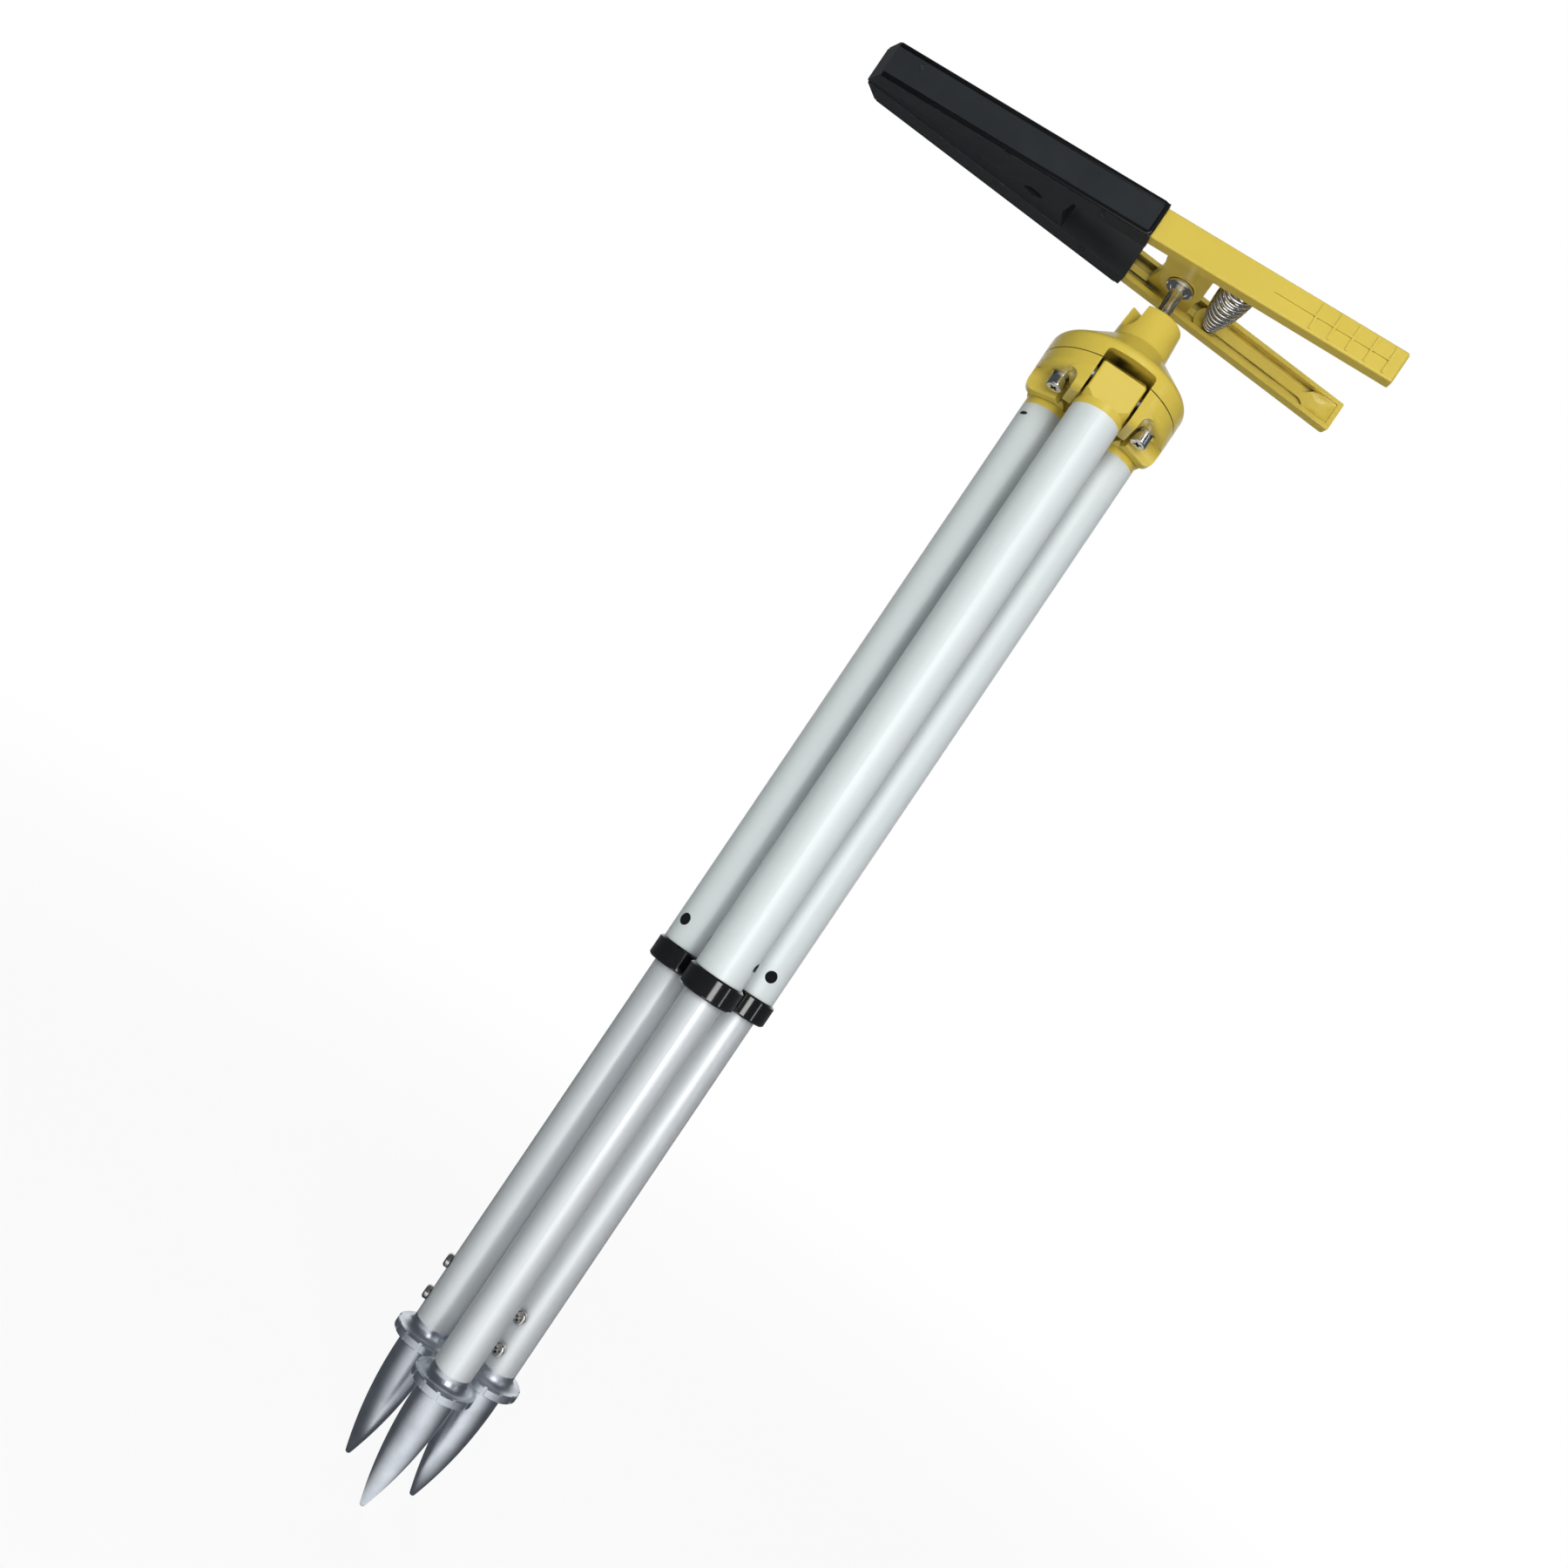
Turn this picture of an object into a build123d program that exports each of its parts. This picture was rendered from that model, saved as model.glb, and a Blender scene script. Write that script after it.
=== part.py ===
from build123d import *
import math
import os

# Leveling staff tripod, folded and standing upright: three telescopic legs hang
# from a two-piece cast head, and a sprung clamp for the staff stands on a ball
# stud above it. Millimetres, Z up, the axis of the tripod on Z, spike tips at 0.

# Legs
LEG_CIRCLE = 23.6
LEGS = {"front": 270, "right": 30, "left": 150}
UPPER_TUBE_OD = 28.0
UPPER_TUBE_WALL = 1.2
UPPER_TUBE_LENGTH = 340.0
LOWER_TUBE_OD = 22.0
LOWER_TUBE_WALL = 1.5
LOWER_TUBE_LENGTH = 283.0
PLUG_FIT = 0.05

# Feet
SPIKE_LENGTH = 72.0
SPIKE_STRAIGHT = 6.0
SPIKE_ROOT_OD = 22.4
SPIKE_TIP_OD = 3.0
SPIKE_TIP_RISE = 0.8
FLANGE_OD = 35.6
FLANGE_RIM = 4.8
FLANGE_EDGE = 0.5
FLANGE_SHELF = 1.6
FLANGE_NOTCHES = 12
FLANGE_NOTCH_WIDTH = 1.8
FLANGE_NOTCH_DEPTH = 0.9
FOOT_NECK = 6.5
FOOT_NECK_STRAIGHT = 1.8
SPIGOT_LENGTH = 44.0
SPIGOT_CHAMFER = 1.0

# Pan-head screws that hold a foot, one above the other on one side of the tube
FOOT_SCREW_HEIGHTS = (11.0, 31.0)
FOOT_SCREW_TURN = {"front": 150, "right": 213, "left": 27}
FOOT_SCREW_OD = 4.0
FOOT_SCREW_LENGTH = 9.0
FOOT_SCREW_HEAD_OD = 8.0
FOOT_SCREW_HEAD = 3.0
SCREW_FIT = 0.1

# Guide bush at the lower end of each upper tube
COLLAR_OD = 31.6
COLLAR_HEIGHT = 12.6
COLLAR_EDGE = 1.0
BUSH_REACH = 46.0
BUSH_RUNNING_FIT = 0.08
LUG_OD = 6.7
LUG_RISE = 13.3
LUG_TURN = 76
LUG_SINK = 0.15

# Twist lock: a coned plug in the lower tube and a split sleeve round it
LOCK_PLUG_DEPTH = 16.0
LOCK_FLANGE = 1.5
LOCK_CONE_FOOT_OD = 18.0
LOCK_CONE_TOP_OD = 9.0
LOCK_CONE_HEIGHT = 9.0
LOCK_ROD_OD = 8.0
LOCK_ROD_LENGTH = 13.0
LOCK_SLEEVE_HEIGHT = 20.0
LOCK_SLEEVE_FIT = 0.08
LOCK_SLEEVE_LIFT = 0.8
LOCK_CONE_GAP = 0.4
LOCK_SLOTS = 3
LOCK_SLOT_WIDTH = 2.0
LOCK_SLOT_HEIGHT = 13.0
EXTENSION_STOP_GAP = 0.5

# Knuckles and hinge pins
KNUCKLE_COLLAR = 4.2
KNUCKLE_PLUG = 26.0
KNUCKLE_WIDTH = 26.0
KNUCKLE_FRONT = 12.0
KNUCKLE_BACK = 11.0
KNUCKLE_EDGE = 1.5
KNUCKLE_NECK_FLARE = 5.0
PIN_RISE = 19.9
PIN_OD = 6.0
PIN_LENGTH = 42.0
PIN_FIT = 0.05
PIN_CHAMFER = 0.5
PIN_END_GAP = 0.5
SPREAD_STOP = 32.8
STOP_FACE_GAP = 0.3

# Head castings
HEAD_OD = 79.8
BASE_HEIGHT = 10.4
BASE_ROUND = 4.0
CHEEK_DROP = 9.0
CHEEK_WALL = 5.2
CHEEK_ROUND = 5.7
CHEEK_EDGE = 1.2
CHEEK_BLEND = 6.0
CHEEK_SINK = 0.4
CHEEK_INSET = 0.15
SPOT_FACE_FIT = 0.4
SEAM_HEIGHT = 0.6
SEAM_DEPTH = 1.0
CAP_RIM = 10.4
CAP_ROUND = 4.6
CAP_EDGE = 1.3
SLOT_WIDTH = 28.8
SLOT_BACK_GAP = 0.7
POCKET_HEIGHT = 5.9
POCKET_ROUND = 2.2
BOSS_ROOT_OD = 32.4
BOSS_ROOT_RISE = 17.6
BOSS_OD = 29.4
BOSS_RISE = 36.7
BOSS_BLEND = 2.0

# Screws, spring washers and flat washers under the head
HEAD_SCREWS = 3
HEAD_SCREW_CIRCLE = 30.0
HEAD_SCREW_TURN = 90
HEAD_SCREW_OD = 5.0
HEAD_SCREW_BITE = 9.0
HEAD_SCREW_TIP_GAP = 1.0
HEAD_SCREW_HEAD_OD = 9.6
HEAD_SCREW_HEAD = 4.8
FLAT_WASHER_OD = 11.6
FLAT_WASHER = 1.0
SPRING_WASHER_OD = 9.0
SPRING_WASHER = 1.4
SPRING_WASHER_SPLIT = 0.8
RECESS_SPAN = 4.8
RECESS_WIDTH = 1.4
RECESS_DEPTH = 1.8
HEAD_ROUND = 0.9

# Ball joint in the boss
BALL_OD = 15.0
BALL_DEPTH = 8.3
BALL_FIT = 0.05
STUD_OD = 8.0
SOCKET_MOUTH_RISE = 5.4
SOCKET_MOUTH_FLARE = 2.2
TILT_NOTCH_TURN = 210
TILT_NOTCH_WIDTH = 12.0
CUP_WALL = 4.4
CUP_RIM_DROP = 2.6
DISC_SPRINGS = 6
DISC_SPRING_THICKNESS = 0.8
DISC_SPRING_RISE = 0.5
DISC_SPRING_BORE = 7.4
DISC_SPRING_GAP = 0.1
PRESSURE_SCREW_OD = 12.0
PRESSURE_SCREW_SINK = 1.2
PRESSURE_SCREW_SOCKET = 6.0
PRESSURE_SCREW_SOCKET_DEPTH = 6.0

# Clamp: two straight channel arms that part from the jaw tips to the handles
ARM_BOTTOM_RISE = 68.4
ARM_HEIGHT = 17.2
ARM_DEPTH = 7.0
ARM_OFFSET = 29.2
ARM_SPLAY = 5.7
ARM_WEB = 2.2
ARM_FLANGE = 2.4
ARM_END_WALL = 3.0
ARM_RIB = 3.8
ARM_RIB_PROUD = 1.6
ARM_EDGE = 1.0
ARM_END_ROUND = 2.0
SCOOP_LENGTH = 15.0
SCOOP_FLARE = 9.0
JAW_REACH = 186.0
HANDLE_REACH = 115.0
GRIP_RIBS = 5
GRIP_RIB_PITCH = 10.5
GRIP_RIB_END_GAP = 7.0
GRIP_RIB_WIDTH = 1.3
GRIP_RIB_HEIGHT = 14.4
GRIP_RIB_PROUD = 0.7
GRIP_LINE_LENGTH = 66.0
GRIP_LINE_WIDTH = 1.0
LUG_ROOT_WIDTH = 28.0
LUG_END_OD = 25.0
LUG_BOTTOM_RISE = 1.9
LUG_LIP = 0.8
LUG_LIP_OD = 17.6
LUG_LIP_PROUD = 0.4
OUTER_EAR = 4.4
INNER_EAR = 5.6
EAR_GAP = 0.3
PIVOT_FIT = 0.05

# Stud collar, pivot washer and nut
STUD_COLLAR_OD = 15.2
STUD_COLLAR = 2.4
STUD_COLLAR_EDGE = 0.6
STUD_FLARE = 1.2
PIVOT_WASHER_OD = 16.0
PIVOT_WASHER = 1.2
PIVOT_NUT_FLATS = 13.0
PIVOT_NUT = 6.5
PIVOT_NUT_EDGE = 0.7
STUD_TIP = 1.2

# Jaw sleeves
SLEEVE_WALL = 1.4
SLEEVE_FIT = 0.1
SLEEVE_LENGTH = 169.0
SLEEVE_NOSE = 8.5
SLEEVE_TIP_SLANT = 6.6
SLEEVE_EDGE = 1.0
PAD_GAP = 0.3
PAD_LENGTH = 123.0
PAD_END_SLOPE = 3.0
PAD_STEP = 0.7
PAD_HOLLOW_START = 98.0
PAD_HOLLOW_LENGTH = 12.6
PAD_HOLLOW_DEPTH = 2.7

# Clamp spring and its seats
SPRING_REACH = 26.0
SPRING_WIRE = 1.8
SPRING_TURNS = 11
SPRING_WIDE_OD = 19.8
SPRING_NARROW_OD = 10.4
SPRING_TAPER = 3
SPRING_END_PITCH = 2.5
SPRING_SEAT_GAP = 0.25
SPRING_SEAT_OD = 21.0
SPRING_BOSS_OD = 15.0
SPRING_BOSS_HEIGHT = 2.4

# Heights worked out from the ground up
upper_bore = UPPER_TUBE_OD / 2 - UPPER_TUBE_WALL
lower_bore = LOWER_TUBE_OD / 2 - LOWER_TUBE_WALL
z_flange_top = SPIKE_LENGTH + FLANGE_RIM
z_seat = z_flange_top + FOOT_NECK
z_lower_top = z_seat + LOWER_TUBE_LENGTH
z_lock = z_lower_top + LOCK_FLANGE
z_bush_top = z_lock + LOCK_SLEEVE_LIFT - EXTENSION_STOP_GAP
z_upper = z_bush_top - BUSH_REACH
z_collar = z_upper - COLLAR_HEIGHT
z_knuckle = z_upper + UPPER_TUBE_LENGTH
z_neck = z_knuckle + KNUCKLE_COLLAR
z_pin = z_knuckle + PIN_RISE
z_parting = z_pin + PIN_OD / 2 + PIN_FIT
z_base = z_parting - BASE_HEIGHT
z_cheek = z_base - CHEEK_DROP
z_rim = z_parting + CAP_RIM
z_boss = z_rim + BOSS_RISE
z_ball = z_boss - BALL_DEPTH
z_arm = z_parting + ARM_BOTTOM_RISE
z_arm_middle = z_arm + ARM_HEIGHT / 2
z_lug = z_arm + LUG_BOTTOM_RISE
z_inner_ear = z_lug + OUTER_EAR + EAR_GAP
z_upper_ear = z_inner_ear + INNER_EAR + EAR_GAP
z_lug_top = z_upper_ear + OUTER_EAR
z_nut = z_lug_top + PIVOT_WASHER

# Radii and reaches that more than one piece shares
pin_bore = PIN_OD / 2 + PIN_FIT
stop_reach = PIN_OD / 2 + PIN_FIT + POCKET_HEIGHT - STOP_FACE_GAP
slot_back = LEG_CIRCLE - stop_reach - SLOT_BACK_GAP
ball_bore = BALL_OD / 2 + BALL_FIT
z_cup = z_ball - BALL_OD / 2 - CUP_WALL
spring_wide_r = (SPRING_WIDE_OD - SPRING_WIRE) / 2
spring_narrow_r = (SPRING_NARROW_OD - SPRING_WIRE) / 2
disc_pitch = DISC_SPRING_THICKNESS + DISC_SPRING_RISE + DISC_SPRING_GAP
z_disc = z_cup - DISC_SPRINGS * disc_pitch

os.makedirs("parts", exist_ok=True)


def leg_frame(angle):
    """Plane on a leg's axis at the ground, its X pointing away from the tripod."""
    outward = Vector(1, 0, 0).rotate(Axis.Z, angle)
    return Plane(origin=outward * LEG_CIRCLE, x_dir=outward, z_dir=(0, 0, 1))


def upright(frame):
    """Plane through a frame's axis: X as in the frame, Y up the axis."""
    return Plane(frame.origin, x_dir=frame.x_dir, z_dir=frame.x_dir.cross(frame.z_dir))


def facing(frame, turn):
    """Plane through a frame's axis that faces sideways at an angle: Y is up."""
    turned = frame.rotated((0, 0, turn))
    return Plane(frame.origin, x_dir=turned.y_dir, z_dir=turned.x_dir)


def leg_axis(frame):
    """Axis of a leg."""
    return Axis(frame.origin, frame.z_dir)


def save(piece, name):
    """Label a finished piece and write its file."""
    piece.part.label = name
    export_step(piece.part, f"parts/{name}.step")


def foot_screw_spots():
    """Places of the two foot screws on a plane that faces sideways."""
    return [(0, z_seat + height) for height in FOOT_SCREW_HEIGHTS]


def build_foot(side, leg):
    """Cast foot: bullet spike, notched flange and the spigot inside the tube."""
    spike_r = SPIKE_ROOT_OD / 2
    tip_r = SPIKE_TIP_OD / 2
    flange_r = FLANGE_OD / 2
    neck_r = LOWER_TUBE_OD / 2
    spigot_r = lower_bore - PLUG_FIT
    z_spike = SPIKE_LENGTH - SPIKE_STRAIGHT
    z_neck_top = z_seat - FOOT_NECK_STRAIGHT
    z_spigot = z_seat + SPIGOT_LENGTH
    with BuildPart() as foot:
        with BuildSketch(upright(leg)):
            with BuildLine():
                TangentArc((0, 0), (tip_r, SPIKE_TIP_RISE), tangent=(1, 0))
                TangentArc((spike_r, z_spike), (tip_r, SPIKE_TIP_RISE), tangent=(0, -1))
                Polyline(
                    (spike_r, z_spike),
                    (spike_r, SPIKE_LENGTH),
                    (flange_r - FLANGE_EDGE, SPIKE_LENGTH),
                    (flange_r, SPIKE_LENGTH + FLANGE_EDGE),
                    (flange_r, z_flange_top - FLANGE_EDGE),
                    (flange_r - FLANGE_EDGE, z_flange_top),
                    (flange_r - FLANGE_SHELF, z_flange_top),
                )
                TangentArc(
                    (neck_r, z_neck_top),
                    (flange_r - FLANGE_SHELF, z_flange_top),
                    tangent=(0, -1),
                )
                Polyline(
                    (neck_r, z_neck_top),
                    (neck_r, z_seat),
                    (spigot_r, z_seat),
                    (spigot_r, z_spigot - SPIGOT_CHAMFER),
                    (spigot_r - SPIGOT_CHAMFER, z_spigot),
                    (0, z_spigot),
                    (0, 0),
                )
            make_face()
        revolve(axis=leg_axis(leg))
        with BuildSketch(leg.offset(SPIKE_LENGTH)):
            with PolarLocations(flange_r, FLANGE_NOTCHES):
                Rectangle(2 * FLANGE_NOTCH_DEPTH, FLANGE_NOTCH_WIDTH)
        extrude(amount=FLANGE_RIM, mode=Mode.SUBTRACT)
        with BuildSketch(facing(leg, FOOT_SCREW_TURN[side])):
            with Locations(*foot_screw_spots()):
                Circle(FOOT_SCREW_OD / 2 + SCREW_FIT)
        extrude(amount=LOWER_TUBE_OD, mode=Mode.SUBTRACT)
    save(foot, f"{side}_foot")


def build_foot_screws(side, leg):
    """Two pan-head screws through the lower tube into the foot's spigot."""
    tube_r = LOWER_TUBE_OD / 2
    face = facing(leg, FOOT_SCREW_TURN[side])
    head_top = tube_r + FOOT_SCREW_HEAD
    with BuildPart() as screws:
        with BuildSketch(face.offset(tube_r - FOOT_SCREW_LENGTH)):
            with Locations(*foot_screw_spots()):
                Circle(FOOT_SCREW_OD / 2)
        extrude(amount=FOOT_SCREW_LENGTH)
        with BuildSketch(face.offset(tube_r)):
            with Locations(*foot_screw_spots()):
                Circle(FOOT_SCREW_HEAD_OD / 2)
        extrude(amount=FOOT_SCREW_HEAD)
        crowns = screws.edges().filter_by(GeomType.CIRCLE)
        fillet(crowns.group_by(Axis(leg.origin, face.z_dir))[-1], FOOT_SCREW_HEAD / 2)
        with BuildSketch(face.offset(head_top - RECESS_DEPTH)):
            with Locations(*foot_screw_spots()):
                Rectangle(RECESS_SPAN, RECESS_WIDTH)
                Rectangle(RECESS_WIDTH, RECESS_SPAN)
        extrude(amount=RECESS_DEPTH, mode=Mode.SUBTRACT)
    save(screws, f"{side}_foot_screws")


def build_lower_tube(side, leg):
    """Lower leg tube with the holes for the foot screws."""
    with BuildPart() as tube:
        with BuildSketch(leg.offset(z_seat)):
            Circle(LOWER_TUBE_OD / 2)
            Circle(lower_bore, mode=Mode.SUBTRACT)
        extrude(amount=LOWER_TUBE_LENGTH)
        with BuildSketch(facing(leg, FOOT_SCREW_TURN[side])):
            with Locations(*foot_screw_spots()):
                Circle(FOOT_SCREW_OD / 2 + SCREW_FIT)
        extrude(amount=LOWER_TUBE_OD, mode=Mode.SUBTRACT)
    save(tube, f"{side}_lower_tube")


def build_lock_plug(side, leg):
    """Coned plug in the top of the lower tube, with its screw rod."""
    plug_r = lower_bore - PLUG_FIT
    z_cone = z_lock + LOCK_CONE_HEIGHT
    z_rod = z_cone + LOCK_ROD_LENGTH
    with BuildPart() as plug:
        with BuildSketch(upright(leg)):
            with BuildLine():
                Polyline(
                    (0, z_lower_top - LOCK_PLUG_DEPTH),
                    (plug_r, z_lower_top - LOCK_PLUG_DEPTH),
                    (plug_r, z_lower_top),
                    (LOWER_TUBE_OD / 2, z_lower_top),
                    (LOWER_TUBE_OD / 2, z_lock),
                    (LOCK_CONE_FOOT_OD / 2, z_lock),
                    (LOCK_CONE_TOP_OD / 2, z_cone),
                    (LOCK_ROD_OD / 2, z_cone),
                    (LOCK_ROD_OD / 2, z_rod),
                    (0, z_rod),
                    close=True,
                )
            make_face()
        revolve(axis=leg_axis(leg))
    save(plug, f"{side}_lock_plug")


def build_lock_sleeve(side, leg):
    """Split sleeve that the cone of the lock plug spreads in the upper tube."""
    z_foot = z_lock + LOCK_SLEEVE_LIFT
    z_cone = z_lock + LOCK_CONE_HEIGHT
    outer_r = upper_bore - LOCK_SLEEVE_FIT
    rod_bore = LOCK_ROD_OD / 2 + LOCK_SLEEVE_FIT
    with BuildPart() as sleeve:
        with BuildSketch(upright(leg)):
            with BuildLine():
                Polyline(
                    (LOCK_CONE_FOOT_OD / 2 + LOCK_CONE_GAP, z_foot),
                    (outer_r, z_foot),
                    (outer_r, z_foot + LOCK_SLEEVE_HEIGHT),
                    (rod_bore, z_foot + LOCK_SLEEVE_HEIGHT),
                    (rod_bore, z_cone + LOCK_SLEEVE_LIFT),
                    (LOCK_CONE_TOP_OD / 2 + LOCK_CONE_GAP, z_cone + LOCK_SLEEVE_LIFT),
                    close=True,
                )
            make_face()
        revolve(axis=leg_axis(leg))
        with BuildSketch(leg.offset(z_foot)):
            with PolarLocations(outer_r / 2, LOCK_SLOTS):
                Rectangle(outer_r + LOCK_SLOT_WIDTH, LOCK_SLOT_WIDTH)
        extrude(amount=LOCK_SLOT_HEIGHT, mode=Mode.SUBTRACT)
    save(sleeve, f"{side}_lock_sleeve")


def build_guide_bush(side, leg):
    """Black bush: collar below the upper tube, liner inside it, two snap lugs."""
    collar_r = COLLAR_OD / 2
    bore = LOWER_TUBE_OD / 2 + BUSH_RUNNING_FIT
    liner_r = upper_bore - PLUG_FIT
    with BuildPart() as bush:
        with BuildSketch(facing(leg, LUG_TURN)):
            with Locations((0, z_upper + LUG_RISE)):
                Circle(LUG_OD / 2)
        extrude(amount=UPPER_TUBE_OD / 2 - LUG_SINK, both=True)
        with BuildSketch(upright(leg)):
            with BuildLine():
                Polyline(
                    (0, z_collar),
                    (collar_r - COLLAR_EDGE, z_collar),
                    (collar_r, z_collar + COLLAR_EDGE),
                    (collar_r, z_upper - COLLAR_EDGE),
                    (collar_r - COLLAR_EDGE, z_upper),
                    (liner_r, z_upper),
                    (liner_r, z_bush_top),
                    (0, z_bush_top),
                    close=True,
                )
            make_face()
        revolve(axis=leg_axis(leg))
        with BuildSketch(leg.offset(z_collar)):
            Circle(bore)
        extrude(amount=z_bush_top - z_collar, mode=Mode.SUBTRACT)
    save(bush, f"{side}_guide_bush")


def build_upper_tube(side, leg):
    """Upper leg tube with the two holes that the bush's lugs snap into."""
    with BuildPart() as tube:
        with BuildSketch(leg.offset(z_upper)):
            Circle(UPPER_TUBE_OD / 2)
            Circle(upper_bore, mode=Mode.SUBTRACT)
        extrude(amount=UPPER_TUBE_LENGTH)
        with BuildSketch(facing(leg, LUG_TURN)):
            with Locations((0, z_upper + LUG_RISE)):
                Circle(LUG_OD / 2 + SCREW_FIT)
        extrude(amount=UPPER_TUBE_OD, both=True, mode=Mode.SUBTRACT)
    save(tube, f"{side}_upper_tube")


def build_knuckle(side, leg):
    """Knuckle: plug and collar on the upper tube, hinge block with its stop face."""
    collar_r = UPPER_TUBE_OD / 2
    plug_r = upper_bore - PLUG_FIT
    lean = math.radians(SPREAD_STOP)
    stop_edge = (stop_reach - KNUCKLE_FRONT * math.sin(lean)) / math.cos(lean)
    stop_top = (stop_reach * math.sin(lean), z_pin + stop_reach * math.cos(lean))
    z_back = z_pin - stop_reach
    with BuildPart() as knuckle:
        with BuildSketch(upright(leg)):
            with BuildLine():
                Polyline(
                    (-KNUCKLE_BACK, z_neck),
                    (KNUCKLE_FRONT, z_neck),
                    (KNUCKLE_FRONT, z_pin + stop_edge),
                    stop_top,
                )
                CenterArc((0, z_pin), stop_reach, 90 - SPREAD_STOP, 90 + SPREAD_STOP)
                Polyline(
                    (-stop_reach, z_pin),
                    (-stop_reach, z_back),
                    (-KNUCKLE_BACK, z_neck + COLLAR_EDGE),
                    (-KNUCKLE_BACK, z_neck),
                )
            make_face()
        extrude(amount=KNUCKLE_WIDTH / 2, both=True)
        cheeks = knuckle.faces().filter_by(Axis(leg.origin, leg.y_dir))
        fillet(cheeks.edges().filter_by_position(Axis.Z, z_neck + COLLAR_EDGE, z_rim), KNUCKLE_EDGE)
        with BuildSketch(upright(leg)):
            with BuildLine():
                Polyline(
                    (0, z_neck),
                    (collar_r, z_neck),
                    (collar_r + KNUCKLE_NECK_FLARE, z_neck + KNUCKLE_NECK_FLARE),
                    (collar_r + KNUCKLE_NECK_FLARE, z_rim),
                    (0, z_rim),
                    close=True,
                )
            make_face()
        revolve(axis=leg_axis(leg), mode=Mode.INTERSECT)
        with BuildSketch(upright(leg)):
            with BuildLine():
                Polyline(
                    (0, z_knuckle - KNUCKLE_PLUG),
                    (plug_r - SPIGOT_CHAMFER, z_knuckle - KNUCKLE_PLUG),
                    (plug_r, z_knuckle - KNUCKLE_PLUG + SPIGOT_CHAMFER),
                    (plug_r, z_knuckle),
                    (collar_r, z_knuckle),
                    (collar_r, z_neck),
                    (0, z_neck),
                    close=True,
                )
            make_face()
        revolve(axis=leg_axis(leg))
        with BuildSketch(upright(leg)):
            with Locations((0, z_pin)):
                Circle(pin_bore)
        extrude(amount=KNUCKLE_WIDTH, both=True, mode=Mode.SUBTRACT)
    save(knuckle, f"{side}_knuckle")


def build_hinge_pin(side, leg):
    """Pin that lies across the head and carries one knuckle."""
    with BuildPart() as pin:
        with BuildSketch(upright(leg)):
            with Locations((0, z_pin)):
                Circle(PIN_OD / 2)
        extrude(amount=PIN_LENGTH / 2, both=True)
        chamfer(pin.edges().filter_by(GeomType.CIRCLE), PIN_CHAMFER)
    save(pin, f"{side}_hinge_pin")


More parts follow.
